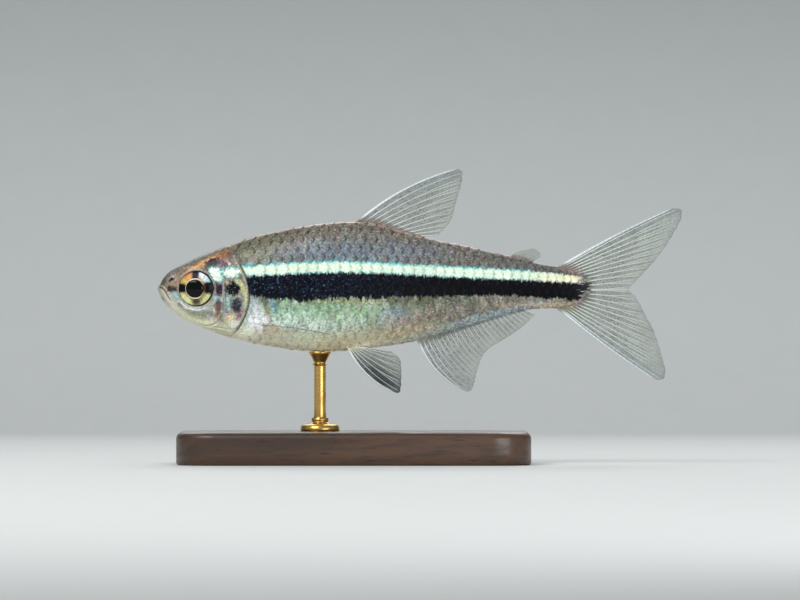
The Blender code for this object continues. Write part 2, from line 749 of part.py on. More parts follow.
def stand_rod():
    """A turned rod with a round foot on the base and a pad dished to the belly."""
    foot = BASE_THICKNESS + GAP - AXIS_HEIGHT
    neck = belly_height(ROD_S, 0) - GAP - ROD_PAD_HEIGHT
    profile = (
        (ROD_FOOT_RADIUS, foot),
        (ROD_FOOT_RADIUS, foot + ROD_FOOT_HEIGHT / 2),
        (ROD_FOOT_RADIUS * 0.8, foot + ROD_FOOT_HEIGHT),
        (ROD_RADIUS, foot + ROD_FOOT_HEIGHT * 1.6),
        (ROD_RADIUS, neck - ROD_RADIUS),
        (ROD_PAD_RADIUS * 0.85, neck + ROD_PAD_HEIGHT * 0.2),
    )
    turn = np.linspace(0, 2 * math.pi, ROD_SIDES, endpoint=False)
    rings = [place(ROD_S + r * np.cos(turn), r * np.sin(turn), h) for r, h in profile]
    for step in range(ROD_DISH_RINGS):
        radius = ROD_PAD_RADIUS * (1 - step / ROD_DISH_RINGS)
        s, y = ROD_S + radius * np.cos(turn), radius * np.sin(turn)
        rings.append(place(s, y, belly_height(s, y) - GAP))
    rings.append(place(ROD_S, 0, belly_height(ROD_S, 0) - GAP))
    count = len(profile) + ROD_DISH_RINGS
    faces = grid_faces(count, ROD_SIDES, closed=True)
    faces.append(tuple(range(ROD_SIDES)))
    hub = count * ROD_SIDES
    last = hub - ROD_SIDES
    faces += [(hub, last + k, last + (k + 1) % ROD_SIDES) for k in range(ROD_SIDES)]
    add_object("stand_rod", np.concatenate(rings), faces, "rod_brass")


for leftover in list(bpy.data.objects):
    bpy.data.objects.remove(leftover)
head()
gill_covers()
eyes()
trunk()
tail_stalk()
middle_fin("dorsal_fin", back_root(DORSAL_ROOT), DORSAL_MARGIN, DORSAL_RAYS, DORSAL_BOW)
adipose_fin()
middle_fin("anal_fin", belly_root(ANAL_ROOT), ANAL_MARGIN, ANAL_RAYS, ANAL_BOW)
tail_fin()
pelvic_fins()
pectoral_fins()
stand_base()
stand_rod()
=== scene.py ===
# %% [markdown]
# A black neon tetra on its stand
#
# This lesson dresses a small aquarium fish, 40 mm long, as a museum would show it: one seamless skin,
# overlapping scales, glassy eyes and thin clear fins with their rays. The plain solids that carry it
# are loaded first, and every piece made here lies in the same place as the solid that it dresses.
# Shapes are worked out in millimetres, as s behind the snout tip, y to the side and h above the
# body's axis, and only place() turns them into Blender's metres.

# %% Load the frame
import math

import bpy
import numpy as np
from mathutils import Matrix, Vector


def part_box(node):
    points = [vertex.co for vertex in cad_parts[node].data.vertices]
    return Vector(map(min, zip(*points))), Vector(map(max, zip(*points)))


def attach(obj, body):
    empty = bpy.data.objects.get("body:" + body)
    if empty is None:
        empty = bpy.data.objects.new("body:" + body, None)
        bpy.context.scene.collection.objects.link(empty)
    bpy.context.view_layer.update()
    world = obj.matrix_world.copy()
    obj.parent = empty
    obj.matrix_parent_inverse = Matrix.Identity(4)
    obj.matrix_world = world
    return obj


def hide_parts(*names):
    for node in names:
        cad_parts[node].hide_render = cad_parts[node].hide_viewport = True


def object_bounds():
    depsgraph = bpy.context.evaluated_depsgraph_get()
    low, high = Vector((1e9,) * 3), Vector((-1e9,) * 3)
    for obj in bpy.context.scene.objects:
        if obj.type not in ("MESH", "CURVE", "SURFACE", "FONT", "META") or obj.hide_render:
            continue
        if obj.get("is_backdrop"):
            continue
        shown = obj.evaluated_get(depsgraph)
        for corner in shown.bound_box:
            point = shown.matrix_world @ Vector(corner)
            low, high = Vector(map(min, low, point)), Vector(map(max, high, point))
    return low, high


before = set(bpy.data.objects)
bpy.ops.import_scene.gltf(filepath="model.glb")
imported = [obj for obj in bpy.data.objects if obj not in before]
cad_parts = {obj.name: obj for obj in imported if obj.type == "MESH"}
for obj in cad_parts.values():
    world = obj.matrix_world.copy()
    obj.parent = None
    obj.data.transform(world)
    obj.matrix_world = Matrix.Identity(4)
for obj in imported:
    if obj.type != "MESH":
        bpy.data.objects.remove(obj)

MM = 0.001
solid_low, solid_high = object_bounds()
cad_box = [list(solid_low), list(solid_high)]

EYE_S, EYE_H = 2.97, -0.08
eye_low, eye_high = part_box("eye_left")
TOTAL_LENGTH = 40.1
SNOUT_X = -TOTAL_LENGTH / 2 * MM
AXIS_Z = (eye_low.z + eye_high.z) / 2 - EYE_H * MM
print("nodes", len(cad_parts), "axis height in mm", round(AXIS_Z / MM, 2))


def place(s, y, h):
    """Metres from the fish's own s, y and h: X = snout + s, Y = y, Z = axis height + h."""
    s, y, h = np.broadcast_arrays(s, y, h)
    return np.stack([SNOUT_X + s * MM, y * MM, AXIS_Z + h * MM], axis=-1)


# %% [markdown]
# Measured curves
#
# A fish's outline is easy to measure at a few stations and hard to put in a formula. A spline
# through the stations gives both: few numbers, and a smooth value anywhere between. A Catmull-Rom
# spline passes through every station, which a Bezier hull wouldn't.

# %% Curves through measured points


def smooth_through(rows, count):
    """Catmull-Rom: between two rows, a cubic whose slope at each is half the step over its neighbours."""
    rows = np.array(rows, float)
    ends = np.vstack([2 * rows[0] - rows[1], rows, 2 * rows[-1] - rows[-2]])
    along = np.linspace(0, len(rows) - 1, count)
    first = np.minimum(along.astype(int), len(rows) - 2)
    t = (along - first)[:, None]
    a, b, c, d = (ends[first + k] for k in range(4))
    return 0.5 * (
        2 * b + (c - a) * t + (2 * a - 5 * b + 4 * c - d) * t**2 + (3 * b - a - 3 * c + d) * t**3
    )


def along_path(path, share):
    """The path's point at each share of its length, from 0 at its first point to 1 at its last."""
    dense = smooth_through(path, 24 * len(path))
    steps = np.linalg.norm(np.diff(dense, axis=0), axis=1)
    length = np.concatenate([[0], np.cumsum(steps)])
    share = np.asarray(share) * length[-1]
    return np.stack([np.interp(share, length, dense[:, k]) for k in range(dense.shape[1])], axis=-1)


def fade(value, start, end):
    """0 before start, 1 after end, and a smooth S between: 3t^2 - 2t^3. start may be the larger."""
    t = np.clip((value - start) / (end - start), 0, 1)
    return t * t * (3 - 2 * t)


def bump(distance, width):
    """A bell: 1 at distance 0 and nearly nothing two widths away."""
    return np.exp(-((distance / width) ** 2))


print("a bell one width from its middle", round(float(bump(1.0, 1.0)), 3))

# %% [markdown]
# The body's shape
#
# Each cross-section of the body is a flattened oval. Its height comes from the outlines of back and
# belly, its half width from how compressed such fish are, and its squareness tells how full the
# sides are. Walking round the oval with the angle called turn, and along the fish with s, gives a
# surface of two parameters. turn is 90 degrees at the back, 180 on the left side, 270 at the belly.

# %% Body stations: s, back, belly, half width, squareness
BODY_STATIONS = (
    (0.04, 0.06, -0.30, 0.10, 0.80),
    (0.18, 0.28, -0.66, 0.40, 0.80),
    (0.45, 0.74, -1.12, 0.68, 0.78),
    (1.00, 1.30, -1.68, 0.98, 0.76),
    (2.10, 1.88, -2.46, 1.38, 0.74),
    (3.50, 2.53, -3.12, 1.68, 0.74),
    (5.60, 3.34, -3.86, 1.98, 0.78),
    (7.70, 4.03, -4.37, 2.14, 0.84),
    (10.10, 4.55, -4.76, 2.20, 0.88),
    (12.80, 4.94, -4.90, 2.12, 0.90),
    (15.20, 5.07, -4.78, 1.93, 0.92),
    (16.90, 4.86, -4.58, 1.78, 0.94),
    (20.00, 3.96, -4.05, 1.46, 0.96),
    (23.50, 3.22, -3.02, 1.10, 1.00),
    (27.00, 2.42, -1.93, 0.80, 1.00),
    (29.20, 1.84, -1.62, 0.62, 1.00),
    (30.40, 1.66, -1.60, 0.50, 1.00),
    (31.00, 1.50, -1.52, 0.42, 1.00),
    (31.80, 1.24, -1.32, 0.30, 1.00),
    (32.50, 0.84, -0.98, 0.17, 1.00),
    (32.95, 0.40, -0.60, 0.07, 1.00),
)
BODY_TABLE = smooth_through(BODY_STATIONS, 600)
BODY_START, BODY_END = BODY_STATIONS[0][0], BODY_STATIONS[-1][0]
GILL_FRONT, GILL_SWEEP, GILL_LEVEL = 4.36, 2.60, -0.46
GILL_REACH_UP, GILL_REACH_DOWN = 4.74, 4.13
GILL_LEAN, GILL_FULLNESS = 1.10, 0.62
print("body from", BODY_START, "to", BODY_END, "mm behind the snout tip")


def body_at(s):
    """Middle height, half height, half width and squareness of the section at s."""
    back, belly, half_width, square = (
        np.interp(s, BODY_TABLE[:, 0], BODY_TABLE[:, k]) for k in range(1, 5)
    )
    return (back + belly) / 2, (back - belly) / 2, half_width, square


def body_point(s, turn):
    """y = half width x |cos turn|^squareness with the sign of cos, h = middle + half height x sin."""
    middle, half_height, half_width, square = body_at(s)
    across = np.cos(turn)
    y = half_width * np.sign(across) * np.abs(across) ** square
    return np.stack(np.broadcast_arrays(s, y, middle + half_height * np.sin(turn)), axis=-1)


def flank(s, h):
    """Distance of the body's side from the middle plane, at s and height h."""
    middle, half_height, half_width, square = body_at(s)
    share = np.clip(np.abs(h - middle) / half_height, 0, 1)
    return half_width * (1 - share**2) ** (square / 2)


def gill_edge(h):
    """How far back the gill opening lies at height h: front + sweep x cos^k, with a smaller k below."""
    reach = np.where(h > GILL_LEVEL, GILL_REACH_UP, GILL_REACH_DOWN)
    turn = np.clip((h - GILL_LEVEL) / reach, -1, 1) * math.pi / 2
    return GILL_FRONT + GILL_SWEEP * np.cos(turn) ** np.where(h > GILL_LEVEL, GILL_LEAN, GILL_FULLNESS)


# %% [markdown]
# From arrays to meshes
#
# Every piece here is a grid of points. Joining neighbours with quads gives the surface, closing the
# grid round makes a tube, and a fan of triangles shuts each end. One helper takes any number of such
# grids in one array, so hundreds of scales or rays cost no more code than one. A second helper puts
# the arrays into Blender in one call, which is far quicker than adding faces one at a time.

# %% Mesh helpers


def tube_faces(count, rings, around):
    """Faces of count closed tubes, each rings x around points, shut at both ends by one flat face."""
    ring, step = np.meshgrid(np.arange(rings - 1), np.arange(around), indexing="ij")
    after = (step + 1) % around
    here, there = ring * around, (ring + 1) * around
    quads = np.stack([here + step, here + after, there + after, there + step], axis=-1).reshape(-1, 4)
    starts = np.arange(count)[:, None, None] * rings * around
    quads = (quads[None] + starts).reshape(-1, 4)
    first = np.arange(around)[::-1][None] + starts[:, 0]
    last = np.arange(around)[None] + (rings - 1) * around + starts[:, 0]
    return quads.tolist() + first.tolist() + last.tolist()


def leaf_faces(count, rows, columns):
    """Faces of count thin leaves: an upper grid, a lower grid, and a rim that joins their edges."""
    row, column = np.meshgrid(np.arange(rows - 1), np.arange(columns - 1), indexing="ij")
    corner = row * columns + column
    upper = np.stack([corner, corner + 1, corner + columns + 1, corner + columns], axis=-1).reshape(-1, 4)
    layer = rows * columns
    lower = upper[:, ::-1] + layer
    rim = np.concatenate(
        [
            np.arange(columns),
            np.arange(1, rows) * columns + columns - 1,
            np.arange(columns - 2, -1, -1) + (rows - 1) * columns,
            np.arange(rows - 2, 0, -1) * columns,
        ]
    )
    following = np.roll(rim, -1)
    sides = np.stack([rim, rim + layer, following + layer, following], axis=-1)
    faces = np.concatenate([upper, lower, sides])
    starts = np.arange(count)[:, None, None] * 2 * layer
    return (faces[None] + starts).reshape(-1, 4).tolist()


def new_object(name, points, faces, material):
    """A mesh object at the origin, shaded smooth, linked into the scene."""
    mesh = bpy.data.meshes.new(name)
    mesh.from_pydata(points.reshape(-1, 3).tolist(), [], faces)
    mesh.shade_smooth()
    mesh.materials.append(material)
    made = bpy.data.objects.new(name, mesh)
    bpy.context.scene.collection.objects.link(made)
    return made


def make_piece(name, points, faces, material, smooth_angle=None):
    """A mesh object that rides on the fish's only body; edges sharper than smooth_angle stay sharp."""
    piece = new_object(name, points, faces, material)
    if smooth_angle:
        piece.data.set_sharp_from_angle(angle=math.radians(smooth_angle))
    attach(piece, "root")
    print(name, len(piece.data.vertices), "points", len(piece.data.polygons), "faces")
    return piece


def add_values(piece, name, values):
    """Stores one number, or one place, at each point of the mesh for its material to read."""
    values = np.asarray(values, np.float32)
    kind = "FLOAT" if values.ndim == 1 else "FLOAT_VECTOR"
    field = "value" if values.ndim == 1 else "vector"
    layer = piece.data.attributes.new(name, kind, "POINT")
    layer.data.foreach_set(field, values.ravel())


def add_map(piece, name, places):
    """A UV map from one (u, v) for each point."""
    layer = piece.data.uv_layers.new(name=name)
    corner = np.empty(len(piece.data.loops), np.int32)
    piece.data.loops.foreach_get("vertex_index", corner)
    layer.data.foreach_set("uv", np.asarray(places, np.float32)[corner].ravel())


print("faces of one leaf of 7 x 7 points", len(leaf_faces(1, 7, 7)))

# %% [markdown]
# Writing materials as formulas
#
# Node trees get long when a fish has forty patches of colour. The little class below lets a material
# be written like a formula: each call adds one node and hands back its output. Colours are given as
# a painter reads them off a screen, 0 to 255, and turned into the linear values that light needs.

# %% A short hand for node trees


def paint(red, green, blue):
    """Linear RGBA from screen values: ((v + 0.055) / 1.055)^2.4, or v / 12.92 where v is small."""
    screen = np.array([red, green, blue]) / 255
    linear = np.where(screen > 0.04045, ((screen + 0.055) / 1.055) ** 2.4, screen / 12.92)
    return (*linear.tolist(), 1.0)


class Nodes:
    """Adds nodes to a tree; nearly every method returns the new node's output socket."""

    def __init__(self, tree):
        self.tree = tree

    def add(self, kind, **settings):
        """The new node itself, for those that need a setting or a socket of their own."""
        node = self.tree.nodes.new("ShaderNode" + kind)
        for setting, value in settings.items():
            setattr(node, setting, value)
        return node

    def feed(self, socket, value):
        """Links another node's output to the socket, or sets the socket to a constant."""
        if isinstance(value, bpy.types.NodeSocket):
            self.tree.links.new(value, socket)
        else:
            socket.default_value = value

    def math(self, operation, first, second=0.0, clamp=False):
        """Any sum that the Math node knows, of one or two values."""
        node = self.add("Math", operation=operation, use_clamp=clamp)
        self.feed(node.inputs[0], first)
        self.feed(node.inputs[1], second)
        return node.outputs[0]

    def times(self, first, *others):
        """The product of all its values."""
        for other in others:
            first = self.math("MULTIPLY", first, other)
        return first

    def plus(self, first, second, clamp=False):
        """first + second, held within 0 to 1 if clamp is set."""
        return self.math("ADD", first, second, clamp)

    def minus(self, first, second):
        """first - second."""
        return self.math("SUBTRACT", first, second)

    def over(self, first, second):
        """first / second."""
        return self.math("DIVIDE", first, second)

    def sway(self, noise, amount):
        """A noise of 0 to 1 as a push both ways: (noise - 0.5) x amount."""
        return self.times(self.minus(noise, 0.5), amount)

    def length(self, x, y):
        """Distance from its two parts: the square root of x^2 + y^2."""
        return self.math("SQRT", self.plus(self.times(x, x), self.times(y, y)))

    def ramp(self, value, start, end, low=0.0, high=1.0, smooth=True):
        """low before start, high after end, and an S or a straight line between; start may be larger."""
        node = self.add("MapRange", interpolation_type="SMOOTHSTEP" if smooth else "LINEAR")
        for socket, item in zip(node.inputs, (value, start, end, low, high)):
            self.feed(socket, item)
        return node.outputs["Result"]

    def line(self, value, at, wide, narrow, strength=1.0):
        """A soft line where value is at: strength within narrow of it, and 0 beyond wide."""
        return self.ramp(self.math("ABSOLUTE", self.minus(value, at)), wide, narrow, 0.0, strength)

    def mix(self, share, first, second, blend="MIX"):
        """Two colours: the first where share is 0, the second where it is 1."""
        node = self.add("Mix", data_type="RGBA", blend_type=blend)
        self.feed(node.inputs[0], share)
        self.feed(node.inputs[6], first)
        self.feed(node.inputs[7], second)
        return node.outputs[2]

    def blend(self, share, first, second):
        """The same for two numbers: first + share x (second - first)."""
        node = self.add("Mix", data_type="FLOAT")
        self.feed(node.inputs[0], share)
        self.feed(node.inputs[2], first)
        self.feed(node.inputs[3], second)
        return node.outputs[0]

    def noise(self, vector, millimetres, detail=2.0, rough=0.5):
        """Noise whose blots are about so many millimetres across."""
        node = self.add("TexNoise")
        self.feed(node.inputs["Vector"], vector)
        node.inputs["Scale"].default_value = 1 / (millimetres * MM)
        node.inputs["Detail"].default_value = detail
        node.inputs["Roughness"].default_value = rough
        return node.outputs["Fac"]

    def group(self, tree, **values):
        """All outputs of a node group, whose inputs are fed by name, with _ for a space."""
        node = self.add("Group", node_tree=tree)
        for socket, value in values.items():
            self.feed(node.inputs[socket.replace("_", " ")], value)
        return node.outputs

    def curve(self, value, points):
        """A smooth curve through a few (input, output) points, all within 0 to 1."""
        node = self.add("FloatCurve")
        self.feed(node.inputs["Value"], value)
        line = node.mapping.curves[0]
        line.points[0].location = points[0]
        line.points[1].location = points[-1]
        for point in points[1:-1]:
            line.points.new(*point)
        node.mapping.update()
        return node.outputs[0]

    def attribute(self, name, output="Fac"):
        """A value that the mesh carries at each point."""
        return self.add("Attribute", attribute_name=name).outputs[output]

    def parts(self, vector):
        """The three numbers of a vector, as outputs named X, Y and Z."""
        node = self.add("SeparateXYZ")
        self.feed(node.inputs[0], vector)
        return node.outputs

    def joined(self, x, y):
        """The vector (x, y, 0)."""
        node = self.add("CombineXYZ")
        self.feed(node.inputs[0], x)
        self.feed(node.inputs[1], y)
        return node.outputs[0]

    def stretched(self, vector, scale):
        """The vector times a scale for each axis; noise drawn on it is long where the scale is small."""
        node = self.add("Mapping")
        node.inputs["Scale"].default_value = scale
        self.feed(node.inputs["Vector"], vector)
        return node.outputs["Vector"]


def new_group(name, inputs, outputs):
    """An empty node group with named sockets, and the node that holds its inputs."""
    tree = bpy.data.node_groups.new(name, "ShaderNodeTree")
    for label, kind in inputs.items():
        tree.interface.new_socket(label, in_out="INPUT", socket_type=kind)
    for label, kind in outputs.items():
        tree.interface.new_socket(label, in_out="OUTPUT", socket_type=kind)
    source = tree.nodes.new("NodeGroupInput")
    return tree, Nodes(tree), source.outputs


def finish_group(tree, **values):
    """Links each value to the group's output of the same name."""
    sink = tree.nodes.new("NodeGroupOutput")
    for label, value in values.items():
        tree.links.new(value, sink.inputs[label])


FLOAT, VECTOR, COLOUR = "NodeSocketFloat", "NodeSocketVector", "NodeSocketColor"
print("middle grey in linear light", round(paint(128, 128, 128)[0], 3))

# %% [markdown]
# One patch of colour
#
# The head and flank of a tetra are a mosaic of soft-edged patches. Each is an oval with a place, a
# reach each way, a turn and a softness. Building the oval once as a node group means that every
# patch is one node with its own numbers. Ragged edges come from noise added to the distance.

# %% The patch group
patch_inputs = (
    "Along", "Up", "Ragged", "Centre Along", "Centre Up", "Reach Along", "Reach Up", "Turn", "Soft",
)
patch_group, n, given = new_group("soft patch", dict.fromkeys(patch_inputs, FLOAT), {"Mask": FLOAT})
right = n.minus(given["Along"], given["Centre Along"])
upward = n.minus(given["Up"], given["Centre Up"])
cosine = n.math("COSINE", given["Turn"])
sine = n.math("SINE", given["Turn"])
lengthwise = n.plus(n.times(right, cosine), n.times(upward, sine))
crosswise = n.minus(n.times(upward, cosine), n.times(right, sine))
reaches = n.length(n.over(lengthwise, given["Reach Along"]), n.over(crosswise, given["Reach Up"]))
distance = n.plus(reaches, given["Ragged"])
outer = n.plus(1.0, given["Soft"])
inner = n.minus(1.0, given["Soft"])
finish_group(patch_group, Mask=n.ramp(distance, outer, inner))
print("patch group nodes", len(patch_group.nodes))

# %% [markdown]
# The markings
#
# A pale iridescent stripe runs from the gill cover to the tail over a broad black band; the back is
# taupe with a violet sheen, the flank pale green, the belly ivory. The edges of stripe and band rise
# and fall a little along the fish, so each is a curve node through a few measured heights. The same
# group colours the skin and the scales over it, so nothing changes where a scale ends.

# %% Heights of the markings along the fish: s and h in millimetres
STRIPE_TOP = (
    (6.0, 1.62), (7.1, 1.66), (10.3, 1.91), (14.1, 2.00), (18.5, 1.80), (23.4, 1.57), (28.2, 1.28),
    (31.2, 0.95), (33.2, 0.60),
)
STRIPE_FOOT = (
    (6.0, 0.80), (7.1, 0.84), (10.3, 1.01), (14.1, 1.12), (18.5, 0.99), (23.4, 0.75), (28.2, 0.54),
    (31.2, 0.42), (33.2, 0.30),
)
BAND_FOOT = (
    (6.6, -0.40), (7.1, -0.57), (10.3, -0.91), (14.1, -0.76), (18.5, -0.76), (23.4, -0.60),
    (28.2, -0.67), (31.2, -0.92), (33.4, -0.98),
)
EYE_RIM = 1.46  # radius of the pale ring round the eye
HEIGHT_SPAN = 12.0  # curve nodes hold 0 to 1, which stands for heights from -6 to 6 mm


def along_and_up(nodes, vector):
    """s and h in millimetres from a place in metres, as outputs of nodes: place() the other way."""
    axes = nodes.parts(vector)
    along = nodes.times(nodes.minus(axes["X"], SNOUT_X), 1 / MM)
    up = nodes.times(nodes.minus(axes["Z"], AXIS_Z), 1 / MM)
    return along, up


def level_curve(nodes, share, heights):
    """A height in millimetres along the fish, where share is s over the total length."""
    points = [(s / TOTAL_LENGTH, h / HEIGHT_SPAN + 0.5) for s, h in heights]
    value = nodes.curve(share, points)
    return nodes.times(nodes.minus(value, 0.5), HEIGHT_SPAN)


GLOSSY = 0.12  # flecks break up patches that shine more than this


def lay_patches(nodes, spot, table, color, shine, raggedness, flecks=1.0):
    """Lays a table's patches over the colour and shine so far, at the nodes' spot (along, up)."""
    for s, h, reach_along, reach_up, turn, soft, screen, strength, gloss in table.values():
        mask = nodes.group(
            patch_group,
            Along=spot[0],
            Up=spot[1],
            Ragged=raggedness,
            Centre_Along=s,
            Centre_Up=h,
            Reach_Along=reach_along,
            Reach_Up=reach_up,
            Turn=math.radians(turn),
            Soft=soft,
        )["Mask"]
        mask = nodes.times(mask, strength)
        if gloss > GLOSSY:
            mask = nodes.times(mask, flecks)
        color = nodes.mix(mask, color, paint(*screen))
        shine = nodes.blend(mask, shine, gloss)
    return color, shine


print("height of the stripe at s 14.1, in mm", round(STRIPE_TOP[3][1] - STRIPE_FOOT[3][1], 2))

# %% [markdown]
# The mosaic of patches
#
# Crystals under a fish's skin mirror light, each patch in a colour of its own, so the head looks like
# a mosaic. One noise texture would scatter such colours without any order. A table of ovals keeps the
# order, and every patch can be moved, turned or recoloured by its own row.

# %% Patches: s, h, reach along, reach up, turn in degrees, softness, screen colour, strength, shine
BODY_PATCHES = {
    "violet sheen under the dorsal": (14.6, 2.70, 6.4, 0.80, 0, 0.8, (114, 136, 160), 0.60, 0.30),
    "olive nape": (7.6, 3.0, 2.6, 1.0, 20, 0.8, (104, 104, 80), 0.7, 0.10),
    "pale green flank": (12.4, -2.0, 5.6, 1.25, 0, 0.6, (146, 188, 142), 0.85, 0.25),
    "mint flank behind the shoulder": (10.2, -1.75, 1.9, 0.95, 0, 0.8, (164, 210, 178), 0.6, 0.25),
    "silver flank": (11.6, -2.95, 5.4, 0.80, -4, 0.8, (232, 248, 236), 0.85, 0.20),
    "gold under the band": (15.6, -1.0, 4.0, 0.30, 0, 0.8, (172, 164, 108), 0.6, 0.25),
    "blue shoulder": (8.75, -1.25, 0.45, 0.80, 12, 0.8, (104, 170, 190), 0.75, 0.3),
    "brown seam behind the shoulder": (8.45, -2.0, 0.26, 1.2, 12, 0.6, (150, 126, 92), 0.7, 0.12),
    "lilac rear flank": (18.0, -2.45, 1.1, 0.95, 10, 0.8, (134, 150, 184), 0.75, 0.2),
    "brown rear flank": (20.4, -1.2, 3.4, 0.45, 0, 0.8, (112, 114, 92), 0.6, 0.25),
    "pink silver rear flank": (24.0, -1.5, 5.0, 0.60, 12, 0.8, (138, 122, 108), 0.6, 0.2),
    "cream edge of the tail stalk": (29.2, -1.36, 2.6, 0.24, 0, 0.8, (206, 182, 156), 0.7, 0.12),
    # Pale specks along the anal fin's base, partly the fish's colour and partly painted light that lifts this
    # curved underside out of its shade
    "pale specks and painted light over the anal fin": (23.9, -2.62, 4.8, 0.34, 15, 0.7, (198, 220, 230), 0.8, 0.2),
    "peach spot before the pelvic": (13.6, -4.15, 1.3, 0.45, 0, 0.8, (214, 180, 132), 0.6, 0.15),
    "peach line behind the pelvic": (18.3, -3.55, 2.2, 0.35, 10, 0.8, (196, 160, 128), 0.6, 0.15),
    # Painted shade: a darker dun laid over the belly above the pelvic fin's root
    "painted shade over the pelvic root": (16.4, -3.55, 4.6, 0.75, 8, 0.8, (172, 162, 120), 0.62, 0.12),
    "peach behind the gill cover": (8.70, -3.30, 1.0, 0.36, -8, 0.8, (236, 192, 154), 0.60, 0.12),
    "mint belly": (11.2, -3.85, 2.4, 0.50, -4, 0.8, (222, 232, 196), 0.55, 0.12),
    "pink flank over the pelvic": (19.4, -2.45, 1.7, 0.55, 14, 0.8, (170, 140, 136), 0.50, 0.15),
    "pink edge under the dorsal": (18.4, 4.55, 3.6, 0.20, -15, 0.8, (182, 154, 144), 0.6, 0.12),
    "white shoulder": (7.45, -1.75, 0.50, 1.10, 6, 0.5, (188, 190, 216), 0.9, 0.20),
    # Painted highlight: a bright white glint low on the shoulder
    "painted white glint on the shoulder": (7.75, -2.65, 0.80, 0.62, 10, 0.7, (252, 253, 255), 0.9, 0.12),
}
